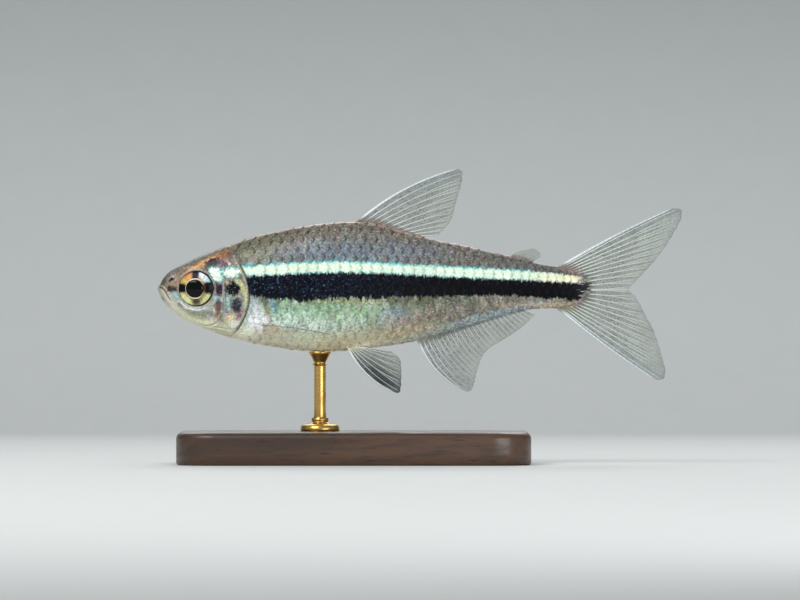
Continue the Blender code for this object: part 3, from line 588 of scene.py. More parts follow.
HEAD_PATCHES = {
    "cream throat": (3.6, -2.95, 2.9, 0.80, -22, 0.7, (230, 230, 194), 0.9, 0.1),
    "grey cheek": (3.2, -2.00, 1.2, 0.36, -12, 0.6, (104, 104, 100), 0.75, 0.3),
    "lower jaw": (1.05, -1.15, 0.95, 0.17, -48, 0.7, (216, 206, 198), 0.85, 0.15),
    "golden snout": (1.55, 0.30, 0.70, 0.55, 30, 0.8, (176, 150, 114), 0.75, 0.12),
    "golden brow": (3.75, 1.98, 1.75, 0.18, 27, 0.6, (220, 160, 96), 0.95, 0.1),
    "pale lid": (2.95, 1.55, 0.75, 0.15, 6, 0.7, (232, 190, 130), 0.8, 0.2),
    "copper crown": (5.02, 2.35, 0.74, 0.46, 40, 0.6, (140, 96, 70), 0.85, 0.1),
    "dark edge of the crown": (5.55, 2.30, 0.22, 0.42, 10, 0.8, (84, 62, 60), 0.7, 0.1),
    "violet crown": (4.22, 1.86, 0.66, 0.36, 14, 0.4, (34, 26, 50), 1.0, 0.0),
    "violet crown, rear": (5.20, 1.72, 0.50, 0.20, -8, 0.6, (78, 58, 84), 0.9, 0.1),
    "pink glint": (5.50, 1.80, 0.12, 0.10, 0, 0.7, (240, 196, 170), 0.9, 0.2),
    "dark snout": (1.12, -0.12, 0.46, 0.25, -14, 0.5, (54, 42, 50), 0.95, 0.1),
    # Painted shade darkens the two nostril pits, and a painted highlight lies on the rim beside them
    "painted shade in the front nostril": (0.88, 0.50, 0.06, 0.07, 0, 0.7, (84, 74, 76), 0.7, 0.1),
    "painted highlight on the nostril's rim": (1.14, 0.74, 0.20, 0.17, -20, 0.6, (196, 190, 198), 0.85, 0.12),
    "painted shade in the rear nostril": (1.08, 0.66, 0.13, 0.13, 0, 0.5, (22, 22, 44), 1.0, 0.1),
    # Painted highlight: a small cyan-white glint on the snout before the eye
    "painted cyan glint before the eye": (1.42, -0.58, 0.34, 0.14, -50, 0.6, (156, 222, 222), 1.0, 0.2),
    "silver under the eye, front": (2.00, -1.26, 0.42, 0.12, -38, 0.6, (236, 246, 246), 1.0, 0.12),
    "silver under the eye": (2.66, -1.60, 0.52, 0.13, -12, 0.6, (252, 255, 253), 1.0, 0.12),
    "silver under the eye, rear": (3.42, -1.60, 0.42, 0.11, 14, 0.7, (222, 238, 240), 0.9, 0.12),
    "turquoise behind the eye": (4.50, 0.86, 0.50, 0.74, 22, 0.4, (128, 212, 206), 1.0, 0.2),
    "white patch behind the eye": (4.46, 0.92, 0.38, 0.60, 22, 0.4, (236, 252, 236), 1.0, 0.1),
    "turquoise on the gill cover": (5.66, 1.14, 0.74, 0.46, 0, 0.4, (120, 206, 200), 1.0, 0.2),
    "white patch on the gill cover": (5.68, 1.14, 0.60, 0.34, 0, 0.4, (240, 252, 232), 1.0, 0.1),
    "dark bar behind the eye": (4.72, -0.14, 0.38, 0.50, 0, 0.5, (56, 32, 44), 1.0, 0.1),
    "dark edge behind the eye": (4.52, 0.20, 0.10, 0.30, 20, 0.7, (40, 50, 64), 0.9, 0.1),
    "blue glints on the cheek": (4.52, -0.82, 0.42, 0.16, -20, 0.7, (164, 222, 232), 0.9, 0.25),
    "maroon cheek": (4.66, -1.50, 0.24, 0.60, 0, 0.6, (96, 62, 62), 0.9, 0.1),
    "brown cheek": (4.52, -2.10, 0.20, 0.22, 0, 0.8, (146, 108, 84), 0.8, 0.1),
    "lilac streak": (4.15, -2.42, 0.50, 0.09, -42, 0.7, (206, 200, 214), 0.9, 0.25),
    "dark seam": (5.22, -0.30, 0.08, 1.00, 0, 0.6, (44, 40, 50), 0.75, 0.1),
    "silver seam": (5.08, -0.85, 0.08, 1.60, 2, 0.5, (176, 176, 180), 0.90, 0.12),
    "black on the gill cover": (5.80, -0.10, 0.60, 0.62, 0, 0.3, (16, 14, 22), 1.0, 0.05),
    "copper on the gill cover": (5.32, 0.40, 0.13, 0.20, 20, 0.6, (222, 176, 156), 0.9, 0.2),
    "violet on the gill cover": (6.05, -1.38, 0.52, 0.70, 8, 0.6, (50, 48, 62), 1.0, 0.1),
    "cyan streak": (5.40, -1.24, 0.13, 0.70, 6, 0.7, (150, 206, 204), 0.9, 0.25),
    "green glint": (5.78, -0.80, 0.20, 0.13, 20, 0.7, (120, 160, 134), 0.9, 0.2),
    "gold crescent, top": (6.18, 0.42, 0.36, 0.15, -40, 0.8, (222, 226, 172), 0.95, 0.2),
    "gold crescent": (6.60, -0.18, 0.15, 0.56, 20, 0.8, (210, 212, 146), 0.95, 0.2),
    "gold crescent, foot": (6.76, -0.86, 0.11, 0.36, 4, 0.7, (214, 218, 160), 0.9, 0.2),
    "gold sparkle": (5.62, -2.34, 0.42, 0.38, 0, 0.6, (236, 220, 178), 0.95, 0.2),
    "pale foot of the gill cover": (6.05, -2.72, 0.60, 0.26, 40, 0.8, (240, 242, 226), 0.9, 0.12),
    "magenta rim": (6.28, -2.16, 0.48, 0.22, 50, 0.7, (140, 84, 112), 0.95, 0.14),
    "pale lips": (0.40, -0.30, 0.20, 0.50, 24, 0.7, (186, 176, 160), 0.7, 0.15),
}

print("patches on the body", len(BODY_PATCHES), "and on the head", len(HEAD_PATCHES))

# %% [markdown]
# Painting in layers
#
# A painter lays the ground first and then the marks over it, and so does this group: back, flank,
# band, stripe, head and tail root, each mixed over the colour so far by a mask of its own. The masks
# follow wavy heights and not straight lines, which gives the edges their feathered look.

# %% The markings group: places, heights and noises
marking_group, n, given = new_group(
    "fish markings",
    {"Place": VECTOR, "Ragged": FLOAT},
    {"Color": COLOUR, "Shine": FLOAT, "Back": FLOAT, "Wet": FLOAT},
)
spot = given["Place"]
along, up = along_and_up(n, spot)
share = n.over(along, TOTAL_LENGTH)
back_line = level_curve(n, share, [(s, b) for s, b, *_ in BODY_STATIONS[2:20:2]])
belly_line = level_curve(n, share, [(s, b) for s, _, b, *_ in BODY_STATIONS[2:20:2]])
stripe_top = level_curve(n, share, STRIPE_TOP)
stripe_foot = level_curve(n, share, STRIPE_FOOT)
band_foot = level_curve(n, share, BAND_FOOT)
blots = n.noise(spot, 0.9, detail=3.0)
specks = n.noise(spot, 0.16, detail=2.0)
grain = n.noise(spot, 0.17, detail=3.0, rough=0.75)
feather = n.noise(n.stretched(spot, (1.0, 1.0, 0.30)), 0.15, detail=3.0, rough=0.7)
ragged = n.sway(feather, given["Ragged"])
wavy_up = n.plus(up, ragged)
print("nodes with the heights and noises", len(marking_group.nodes))

# %% The back: from olive grey at the stripe to dark taupe along the ridge, with a painted rim highlight on the ridge itself
under_ridge = n.minus(back_line, up)
color = n.mix(n.ramp(under_ridge, 1.1, 0.05), paint(106, 105, 97), paint(100, 93, 82))
color = n.mix(n.ramp(blots, 0.35, 0.75, 0.0, 0.5), color, paint(124, 112, 100))
color = n.mix(n.ramp(specks, 0.52, 0.66, 0.0, 0.6), color, paint(160, 156, 154))
color = n.mix(n.ramp(along, 22.0, 28.0, 0.0, 0.6), color, paint(88, 94, 93))
# Painted rim highlight: a pale pinkish line along the very top of the ridge
color = n.mix(n.ramp(under_ridge, 0.26, 0.05, 0.0, 0.5), color, paint(176, 156, 146))
shine = n.ramp(blots, 0.3, 0.8, 0.05, 0.2)
print("nodes with the back", len(marking_group.nodes))

# %% Flank and belly: pale green in front, grey brown behind, ivory along the belly's edge
flank_mask = n.ramp(n.minus(stripe_foot, wavy_up), -0.05, 0.10)
rear = n.ramp(along, 16.0, 21.0)
flank_color = n.mix(rear, paint(170, 190, 170), paint(102, 106, 98))
pale_blots = n.times(n.ramp(blots, 0.4, 0.7, 0.0, 0.5), n.ramp(rear, 0.0, 1.0, 1.0, 0.6))
flank_color = n.mix(pale_blots, flank_color, paint(186, 182, 172))
edge_height = n.minus(up, belly_line)
low_flank = n.ramp(edge_height, 1.8, 0.5)
ivory = n.times(low_flank, n.ramp(along, 24.0, 16.0))
flank_color = n.mix(ivory, flank_color, paint(255, 252, 226))
flank_color = n.mix(n.ramp(along, 27.0, 30.0), flank_color, paint(146, 142, 128))
sparkle = n.ramp(n.noise(spot, 0.14, 2.0, 0.7), 0.56, 0.66, 0.0, 0.6)
sparkle = n.times(sparkle, n.ramp(edge_height, 0.3, 1.2))
flank_color = n.mix(sparkle, flank_color, paint(222, 228, 222))
color = n.mix(flank_mask, color, flank_color)
shine = n.blend(flank_mask, shine, 0.22)
patch_ragged = n.sway(n.noise(spot, 0.28, 4.0, 0.7), 2.2)
flecks = n.ramp(n.noise(spot, 0.24, 3.0, 0.7), 0.36, 0.60, 0.25, 1.0)
color, shine = lay_patches(n, (along, up), BODY_PATCHES, color, shine, patch_ragged, flecks)
print("nodes with flank and belly", len(marking_group.nodes))

# %% Drifts of darker and paler tone over the flank, and a shade under the band
tall = n.stretched(spot, (1.0, 1.0, 0.45))
drifts = n.noise(tall, 0.75, 2.0, 0.6)
high_flank = n.times(flank_mask, n.ramp(edge_height, 0.9, 1.6))
color = n.mix(n.times(n.ramp(drifts, 0.52, 0.70, 0.0, 0.45), high_flank), color, paint(112, 122, 104))
color = n.mix(n.times(n.ramp(drifts, 0.46, 0.30, 0.0, 0.45), flank_mask), color, paint(206, 200, 180))
under_band = n.times(
    n.ramp(up, n.minus(band_foot, 0.95), band_foot, 0.0, 0.85),
    n.ramp(drifts, 0.38, 0.62),
    n.ramp(along, 25.0, 19.0, 0.25, 1.0),
    flank_mask,
)
color = n.mix(under_band, color, paint(82, 88, 68))

# A turquoise haze over the stripe's upper edge
haze = n.times(
    n.ramp(n.minus(wavy_up, stripe_top), 0.42, 0.05),
    n.ramp(blots, 0.40, 0.62),
    n.ramp(wavy_up, n.minus(stripe_foot, 0.1), stripe_foot),
    n.ramp(along, 26.0, 14.0, 0.25, 0.8),
)
color = n.mix(haze, color, paint(108, 166, 176))
print("nodes with drifts and haze", len(marking_group.nodes))

# %% The black band: blue specks in front, a toothed lower edge, plain black towards the tail
band_low = n.plus(n.plus(band_foot, n.sway(feather, 1.6)), n.sway(blots, 0.5))
dips = n.times(n.ramp(n.noise(tall, 0.42, 2.0, 0.6), 0.54, 0.66), n.ramp(along, 8.0, 12.0))
band_low = n.minus(band_low, n.times(dips, n.ramp(along, 24.0, 17.0, 0.08, 0.34)))
band_mask = n.times(
    n.ramp(wavy_up, stripe_foot, n.minus(stripe_foot, 0.12)),
    n.ramp(wavy_up, n.minus(band_low, 0.12), n.plus(band_low, 0.08)),
    n.ramp(along, 6.7, 7.0),
)
band_color = n.mix(n.ramp(specks, 0.52, 0.70), paint(10, 12, 19), paint(26, 40, 68))
sparks = n.times(n.ramp(grain, 0.58, 0.70), n.ramp(along, 10.0, 22.0, 1.0, 0.2))
band_color = n.mix(sparks, band_color, paint(74, 94, 124))
band_color = n.mix(n.ramp(along, 12.0, 24.0, 0.0, 0.85), band_color, paint(4, 5, 8))
worn = n.times(dips, n.ramp(wavy_up, band_foot, n.minus(band_foot, 0.4)))
band_color = n.mix(worn, band_color, paint(56, 62, 52))
color = n.mix(band_mask, color, band_color)
shine = n.blend(band_mask, shine, 0.05)
print("nodes with the band", len(marking_group.nodes))

# %% The pale stripe: turquoise at its edges, cream in its middle
stripe_mask = n.times(
    n.ramp(wavy_up, n.minus(stripe_foot, 0.02), n.plus(stripe_foot, 0.08)),
    n.ramp(wavy_up, n.plus(stripe_top, 0.10), n.minus(stripe_top, 0.04)),
    n.ramp(along, 6.2, 6.5),
)
stripe_middle = n.times(n.plus(stripe_top, stripe_foot), 0.5)
stripe_half = n.times(n.minus(stripe_top, stripe_foot), 0.5)
off_middle = n.over(n.math("ABSOLUTE", n.minus(wavy_up, stripe_middle)), stripe_half)
stripe_color = n.mix(n.ramp(specks, 0.35, 0.65), paint(250, 252, 230), paint(212, 248, 226))
stripe_color = n.mix(n.ramp(grain, 0.62, 0.72, 0.0, 0.6), stripe_color, paint(232, 232, 166))
edge_tint = n.times(
    n.ramp(off_middle, 0.38, 1.0),
    n.ramp(n.noise(spot, 0.45, 2.0), 0.30, 0.55, 0.35, 1.0),
    n.ramp(along, 26.0, 31.0, 1.0, 0.3),
)
stripe_color = n.mix(edge_tint, stripe_color, paint(112, 202, 202))
stripe_color = n.mix(n.ramp(along, 27.5, 32.0, 0.0, 0.7), stripe_color, paint(250, 234, 192))
color = n.mix(stripe_mask, color, stripe_color)
shine = n.blend(stripe_mask, shine, 0.06)
print("nodes with the stripe", len(marking_group.nodes))

# %% The head: where the gill opening lies, by gill_edge()'s formula, and what is before it
over_gill = n.minus(up, GILL_LEVEL)
share_up = n.over(over_gill, GILL_REACH_UP)
share_down = n.over(over_gill, -GILL_REACH_DOWN)
gill_turn = n.times(n.math("MINIMUM", n.math("MAXIMUM", share_up, share_down), 1.0), math.pi / 2)
gill_bow = n.math("MAXIMUM", n.math("COSINE", gill_turn), 0.0)
gill_bow = n.math("POWER", gill_bow, n.blend(n.ramp(over_gill, -0.01, 0.01), GILL_FULLNESS, GILL_LEAN))
gill_line = n.math("MULTIPLY_ADD", gill_bow, GILL_SWEEP)
gill_line.node.inputs[2].default_value = GILL_FRONT
behind_gill = n.minus(n.plus(along, n.times(ragged, 0.5)), gill_line)
head_mask = n.ramp(behind_gill, 0.12, -0.02)
head_color = n.mix(n.ramp(up, -1.0, 0.8), paint(190, 192, 176), paint(126, 120, 110))
head_color = n.mix(n.ramp(blots, 0.42, 0.68, 0.0, 0.7), head_color, paint(88, 82, 76))
fine_flecks = n.ramp(n.noise(spot, 0.15, 3.0, 0.8), 0.34, 0.56, 0.40, 1.0)
head_color, head_shine = lay_patches(
    n, (along, up), HEAD_PATCHES, head_color, 0.15, patch_ragged, fine_flecks
)
over_eye = n.minus(up, EYE_H)
eye_gap = n.length(n.minus(along, EYE_S), over_eye)
lid_color = n.mix(n.ramp(over_eye, 0.6, 1.3), paint(150, 142, 136), paint(184, 172, 178))
head_color = n.mix(n.line(eye_gap, EYE_RIM, 0.10, 0.03, 0.75), head_color, lid_color)
glint = n.times(n.ramp(n.noise(spot, 0.13, 2.0, 0.6), 0.62, 0.70), n.ramp(along, 3.9, 4.6), 0.36)
head_color = n.mix(glint, head_color, paint(216, 226, 226))
color = n.mix(head_mask, color, head_color)
shine = n.blend(head_mask, shine, head_shine)
print("nodes with the head", len(marking_group.nodes))

# %% The tail fin's root: silver glints, and fingers of stripe and band that run into it
fingers = n.noise(n.stretched(spot, (0.12, 1.0, 1.0)), 0.20, 1.0)
finger_end = n.ramp(fingers, 0.35, 0.65, 32.1, 33.5)
in_band = n.times(
    n.ramp(up, -1.10, -0.90),
    n.ramp(up, 0.50, 0.36),
    n.ramp(along, n.plus(finger_end, 0.15), n.minus(finger_end, 0.15)),
)
in_stripe = n.times(
    n.ramp(up, 0.36, 0.50), n.ramp(up, 1.00, 0.80), n.ramp(along, finger_end, n.minus(finger_end, 0.7))
)
root_color = n.mix(n.ramp(specks, 0.45, 0.65), paint(136, 122, 118), paint(204, 200, 194))
ray_tones = n.mix(n.ramp(fingers, 0.4, 0.6), paint(112, 116, 110), paint(190, 196, 188))
root_color = n.mix(n.ramp(along, 32.3, 32.7), root_color, ray_tones)
in_stripe = n.times(in_stripe, n.ramp(specks, 0.3, 0.6, 0.5, 1.0))
root_color = n.mix(in_stripe, root_color, paint(240, 228, 192))
root_color = n.mix(in_band, root_color, paint(20, 18, 30))
color = n.mix(n.ramp(along, 31.7, 32.3), color, root_color)
print("nodes with the tail fin's root", len(marking_group.nodes))

# %% The gill opening's rim, painted shade in the slit behind it, and a grain over everything
behind_slit = n.times(n.ramp(up, -3.7, -3.3), n.ramp(up, 2.2, 1.7))
pale_rim = n.line(behind_gill, -0.10, 0.08, 0.03, 0.7)
# dark_rim is painted shade in the gill slit, at the same place as the relief's groove
dark_rim = n.line(behind_gill, 0.08, 0.07, 0.02, 0.45)
color = n.mix(n.times(pale_rim, behind_slit), color, paint(192, 188, 158))
color = n.mix(n.times(dark_rim, behind_slit), color, paint(64, 58, 58))

# Fine grain and flickering hues over everything, calmer on the belly's front and on the stripe
calm = n.times(low_flank, n.ramp(along, 21.0, 15.0))
contrast = n.ramp(grain, 0.38, 0.64, n.blend(calm, 0.66, 0.96), n.blend(calm, 1.42, 1.20), smooth=False)
contrast = n.blend(stripe_mask, contrast, n.ramp(grain, 0.35, 0.6, 0.86, 1.05))
color = n.mix(1.0, color, contrast, "MULTIPLY")
hues = n.noise(spot, 0.20, 2.0, 0.6).node.outputs["Color"]
color = n.mix(n.blend(stripe_mask, n.blend(calm, 0.42, 0.20), 0.25), color, hues, "OVERLAY")
back_part = n.times(
    n.minus(1.0, flank_mask), n.ramp(along, 18.0, 27.0, 1.0, 0.5), n.minus(1.0, stripe_mask)
)
finish_group(marking_group, Color=color, Shine=shine, Back=back_part, Wet=n.minus(1.0, band_mask))
print("markings group nodes", len(marking_group.nodes))

# %% [markdown]
# Skin, and the shader around it
#
# A living fish is wet and its guanine crystals mirror light, so the skin is a little metallic where
# it shines and has a thin clear coat all over. Fine bump stands for the pores and wrinkles that are
# too small to model. The shader itself stays in the material; only colours and masks come from groups.

# %% Shader helpers


def new_material(name, **constants):
    """A material and its shader, with constant values set on the shader's own sockets."""
    made = bpy.data.materials.new(name)
    made.use_nodes = True
    shader = made.node_tree.nodes["Principled BSDF"]
    for socket, value in constants.items():
        shader.inputs[socket.replace("_", " ")].default_value = value
    return made, shader, Nodes(made.node_tree)


def object_place(nodes):
    """The place of a point on the piece, in metres."""
    return nodes.add("TexCoord").outputs["Object"]


def bump_normal(nodes, shader, height, millimetres, strength=1.0):
    """Feeds a height of 0 to 1, standing for so many millimetres, to the shader's normal."""
    node = nodes.add("Bump")
    node.inputs["Strength"].default_value = strength
    node.inputs["Distance"].default_value = millimetres * MM
    nodes.feed(node.inputs["Height"], height)
    nodes.feed(shader.inputs["Normal"], node.outputs["Normal"])


skin_material, shader, n = new_material("tetra skin", Coat_Roughness=0.14, IOR=1.36, Specular_IOR_Level=0.15)
where = object_place(n)
marks = n.group(marking_group, Place=where, Ragged=0.7)
# The groove value darkens the colour: painted shade in the mouth line, nostrils, gill slit and other grooves
n.feed(shader.inputs["Base Color"], n.mix(n.attribute("groove"), marks["Color"], paint(52, 40, 38)))
n.feed(shader.inputs["Metallic"], marks["Shine"])
n.feed(shader.inputs["Coat Weight"], n.blend(marks["Wet"], 0.02, 0.14))
n.feed(shader.inputs["Roughness"], n.ramp(n.noise(where, 0.25), 0.3, 0.7, 0.28, 0.46))
bump_normal(n, shader, n.noise(where, 0.10, 4.0, 0.65), 0.010)
print("skin material nodes", len(skin_material.node_tree.nodes))

# %% [markdown]
# The skin's relief
#
# The head is where the eye goes first. Its forms are small ridges and grooves on the smooth body:
# lips on each side of the mouth line, two nostrils, the ring round the eye, the seam in front of the
# gill cover, the cover's raised plate and the slit behind it. Each is a bell-shaped ridge or groove
# whose height depends on the distance to a line or a point, all added into one field. That keeps the
# skin a single sheet, with nothing to weld.

# %% Lines on the head: s and h
MOUTH_LINE = ((-0.08, 0.03), (0.23, 0.01), (0.52, -0.25), (0.77, -0.66), (1.00, -1.10))
CHEEK_SEAM = (
    (5.00, 0.75), (5.06, 0.20), (5.06, -1.10), (4.98, -2.00), (4.60, -2.62), (3.90, -2.92), (3.10, -2.78),
)
CHEEK_BONE = (
    (4.55, 0.35), (4.62, -0.60), (4.30, -1.60), (3.60, -2.10), (2.70, -2.02), (1.90, -1.62), (1.40, -1.20),
)
THROAT_LINES = (
    ((5.70, -3.25), (4.60, -3.05), (3.60, -2.98)),
    ((5.40, -3.52), (4.30, -3.22), (3.20, -2.98)),
)
CROWN_LINE = ((1.60, 1.45), (3.20, 2.05), (5.00, 2.60))
NOSTRILS = ((0.92, 0.52), (1.20, 0.64))
GILL_COVER_OUTLINE = (
    (5.34, 0.98), (5.80, 1.42), (6.36, 1.15), (6.82, 0.23), (6.88, -0.84),
    (6.76, -1.91), (6.36, -2.70), (5.72, -3.18), (5.20, -2.52), (5.17, -0.77), (5.34, 0.98),
)
EYE_RADIUS = (eye_high.z - eye_low.z) / 2 / MM
EYE_SUNK = 0.12
EYE_TURN = math.radians(11)
EYE_REACH = 2.4  # the skin further than this from the eye's middle isn't drawn to it
print("eye radius in mm", round(EYE_RADIUS, 2))


def away_from(path, s, h, count=24):
    """Distance to the nearest point of a smooth line, and that point's share of the line."""
    line = along_path(path, np.linspace(0, 1, count))
    a, b = line[:-1], line[1:]
    to_point = np.stack([s, h], axis=-1)[..., None, :] - a
    run = b - a
    t = np.clip((to_point * run).sum(-1) / (run**2).sum(-1), 0, 1)
    gap = np.linalg.norm(to_point - t[..., None] * run, axis=-1)
    nearest = gap.argmin(-1)[..., None]
    share = (nearest + np.take_along_axis(t, nearest, -1)) / (count - 1)
    return np.take_along_axis(gap, nearest, -1)[..., 0], share[..., 0]


def inside(outline, s, h):
    """Whether each point lies inside a closed outline: the sign of the area it sweeps round."""
    line = along_path(outline, np.linspace(0, 1, 48))
    way = line - np.stack([s, h], axis=-1)[..., None, :]
    angle = np.arctan2(way[..., 1], way[..., 0])
    turned = np.diff(angle, axis=-1)
    turned = (turned + math.pi) % (2 * math.pi) - math.pi
    return np.abs(turned.sum(-1)) > math.pi


def eye_plane(s, h):
    """Distance of the eye's widest ring from the middle plane, at a place near the eye."""
    return flank(EYE_S, EYE_H) - EYE_SUNK + (s - EYE_S) * math.tan(EYE_TURN)


def tapered(share):
    """1 at the middle of a line and 0 at both of its ends: sin(pi x share)."""
    return np.sin(np.clip(share, 0, 1) * math.pi)


def head_relief(s, h):
    """Millimetres that the head's forms stand above the smooth body, negative in grooves."""
    relief = np.zeros_like(s)
    gap, share = away_from(MOUTH_LINE, s, h)
    closing = fade(share, 1.0, 0.90)
    relief += closing * (0.06 * bump(gap - 0.13, 0.075) - 0.15 * bump(gap, 0.035))
    relief -= 0.14 * fade(s, 0.80, 0.00) * fade(h, 0.02, 0.20) * fade(h, 1.30, 0.40)
    for nostril_s, nostril_h in NOSTRILS:
        gap = np.hypot(s - nostril_s, h - nostril_h)
        relief += 0.03 * bump(gap - 0.15, 0.05) - 0.12 * bump(gap, 0.08)
    gap, share = away_from(CHEEK_SEAM, s, h)
    relief += tapered(share) ** 0.5 * (0.035 * bump(gap - 0.14, 0.08) - 0.06 * bump(gap, 0.045))
    gap, share = away_from(CHEEK_BONE, s, h)
    relief -= 0.025 * bump(gap, 0.06) * tapered(share)
    for line in THROAT_LINES:
        gap, share = away_from(line, s, h)
        relief -= 0.04 * bump(gap, 0.05) * tapered(share) ** 0.5
    gap, share = away_from(CROWN_LINE, s, h)
    relief += 0.03 * bump(gap, 0.12) * tapered(share)
    gap, _ = away_from(GILL_COVER_OUTLINE, s, h, 60)
    depth_in = np.where(inside(GILL_COVER_OUTLINE, s, h), gap, -gap)
    relief += 0.07 * fade(depth_in, -0.06, 0.06) - 0.03 * fade(depth_in, 0.1, 0.7)
    behind = s - gill_edge(h)
    reach = fade(h, -3.6, -3.2) * fade(h, 1.9, 1.4)
    relief -= reach * 0.16 * bump(behind - 0.07, 0.055)
    relief += reach * 0.05 * bump(behind + 0.12, 0.10)
    return relief


def eye_socket(s, h):
    """The skin near the eye: drawn to the eye's ring, lifted in a thin rim, and sunk inside it."""
    gap = np.hypot((s - EYE_S) / math.cos(EYE_TURN), h - EYE_H)
    to_ring = eye_plane(s, h) + 0.03 - flank(s, h)
    pull = bump(np.maximum(gap - EYE_RADIUS - 0.06, 0), 0.22)
    rim = 0.045 * bump(gap - EYE_RADIUS - 0.13, 0.07)
    sunk = 0.75 * fade(gap, EYE_RADIUS - 0.02, EYE_RADIUS - 0.18)
    return pull * to_ring + rim - sunk


# %% [markdown]
# Building the skin
#
# Rings of points follow the body from a small dome at the snout to one at the tail. They stand close
# on the head, where the grooves are a tenth of a millimetre wide, and wider under the scales. The
# relief moves each point along the surface's own normal, which numpy gets from the cross product
# of the steps to the neighbouring points.

# %% The skin
SKIN_AROUND = 336
HEAD_RINGS, TRUNK_RINGS, DOME_RINGS = 158, 88, 6
DOME_LENGTH = 0.05  # mm that each end dome stands out
SKIN_INSET = 0.05  # the skin lies this deep under the scales' tips
HEAD_END = 7.6


def outward(points):
    """Unit normals of a closed ring grid, from the steps along it and around it."""
    along_step = np.gradient(points, axis=0)
    around_step = np.roll(points, -1, axis=1) - np.roll(points, 1, axis=1)
    normal = np.cross(around_step, along_step)
    return normal / np.maximum(np.linalg.norm(normal, axis=-1, keepdims=True), 1e-9)


def make_skin():
    """One closed sheet: s grows as t^1.35 over the head and t^0.92 behind, and domes shut the ends."""
    head_s = BODY_START + (HEAD_END - BODY_START) * np.linspace(0, 1, HEAD_RINGS) ** 1.35
    trunk_s = HEAD_END + (BODY_END - HEAD_END) * np.linspace(0, 1, TRUNK_RINGS + 1)[1:] ** 0.92
    dome = np.linspace(0, math.pi / 2, DOME_RINGS + 1)[1:-1]
    front, rear = BODY_START - DOME_LENGTH * np.cos(dome), BODY_END + DOME_LENGTH * np.cos(dome[::-1])
    s = np.concatenate([front, head_s, trunk_s, rear])
    scale = np.concatenate([np.sin(dome), np.ones(len(head_s) + len(trunk_s)), np.sin(dome[::-1])])
    turn = math.pi / 2 + np.linspace(0, 2 * math.pi, SKIN_AROUND, endpoint=False)
    points = body_point(np.clip(s, BODY_START, BODY_END)[:, None], turn[None])
    middle = body_at(np.clip(s, BODY_START, BODY_END))[0]
    points[..., 0] = s[:, None]
    points[..., 1] *= scale[:, None]
    points[..., 2] = middle[:, None] + (points[..., 2] - middle[:, None]) * scale[:, None]
    normal = outward(points)
    normal *= np.sign((normal[len(s) // 2, SKIN_AROUND // 4] * (0, -1, 0)).sum())
    side_s, side_h = points[..., 0], points[..., 2]
    on_head = side_s < HEAD_END + 0.3
    relief = np.where(on_head, head_relief(side_s, side_h), 0)
    facing = np.abs(normal[..., 1])
    relief *= fade(side_s, 0.0, 0.12) * fade(facing, 0.02, 0.30)
    inset = SKIN_INSET * fade(side_s - gill_edge(side_h), 0.1, 0.5)
    moved = points + normal * (relief - inset)[..., None]
    near_eye = np.hypot(side_s - EYE_S, side_h - EYE_H) < EYE_REACH
    push = np.where(near_eye, eye_socket(side_s, side_h), 0) * fade(facing, 0.1, 0.4)
    moved[..., 1] += np.sign(points[..., 1]) * push
    faces = tube_faces(1, len(s), SKIN_AROUND)
    piece = make_piece("skin", place(*np.moveaxis(moved, -1, 0)), faces, skin_material)
    # How deep each point lies in a groove, which the skin's colour turns into painted shade
    add_values(piece, "groove", np.clip(-relief.ravel() / 0.12, 0, 1) * 0.7)
    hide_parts("head", "trunk", "tail_stalk", "gill_cover_left", "gill_cover_right")


make_skin()

# %% [markdown]
# Scales
#
# Scales sit in rows that run along the fish, each row shifted half a scale from the next, and every
# scale covers the root of the one behind it like a roof tile. Laying tiles on a curved body is
# easiest on a flat map of it: s along, and the girth g measured round the body from the pale stripe.
# A table turns g back into the body's angle, so a tile drawn on the map lands on the skin.

# %% The map of the flank
ROW_LINE = (
    (6.0, 1.20), (10.3, 1.46), (14.1, 1.56), (18.5, 1.39), (23.4, 1.16), (28.2, 0.91), (31.2, 0.68),
    (33.0, 0.45),
)
MAP_S = np.linspace(4.2, BODY_END, 260)
MAP_SHARES = np.linspace(-1, 1, 201)


def girth_table():
    """For each s: the angle at each share of the girth above (+) and below (-) the row line."""
    turn = np.linspace(math.pi / 2, 3 * math.pi / 2, 721)
    line = along_path(ROW_LINE, np.linspace(0, 1, 200))
    line_h = np.interp(MAP_S, line[:, 0], line[:, 1])
    grid = body_point(MAP_S[:, None], turn[None])
    steps = np.linalg.norm(np.diff(grid[..., 1:], axis=1), axis=-1)
    run = np.concatenate([np.zeros((len(MAP_S), 1)), np.cumsum(steps, axis=1)], axis=1)
    angles, above, under = [], [], []
    for k in range(len(MAP_S)):
        at_line = np.interp(-line_h[k], -grid[k, :, 2], run[k])
        above.append(at_line)
        under.append(run[k, -1] - at_line)
        girth = np.where(MAP_SHARES > 0, MAP_SHARES * above[-1], MAP_SHARES * under[-1])
        angles.append(np.interp(at_line - girth, run[k], turn))
    return np.array(angles), np.array(above), np.array(under)


MAP_ANGLE, GIRTH_ABOVE, GIRTH_UNDER = girth_table()


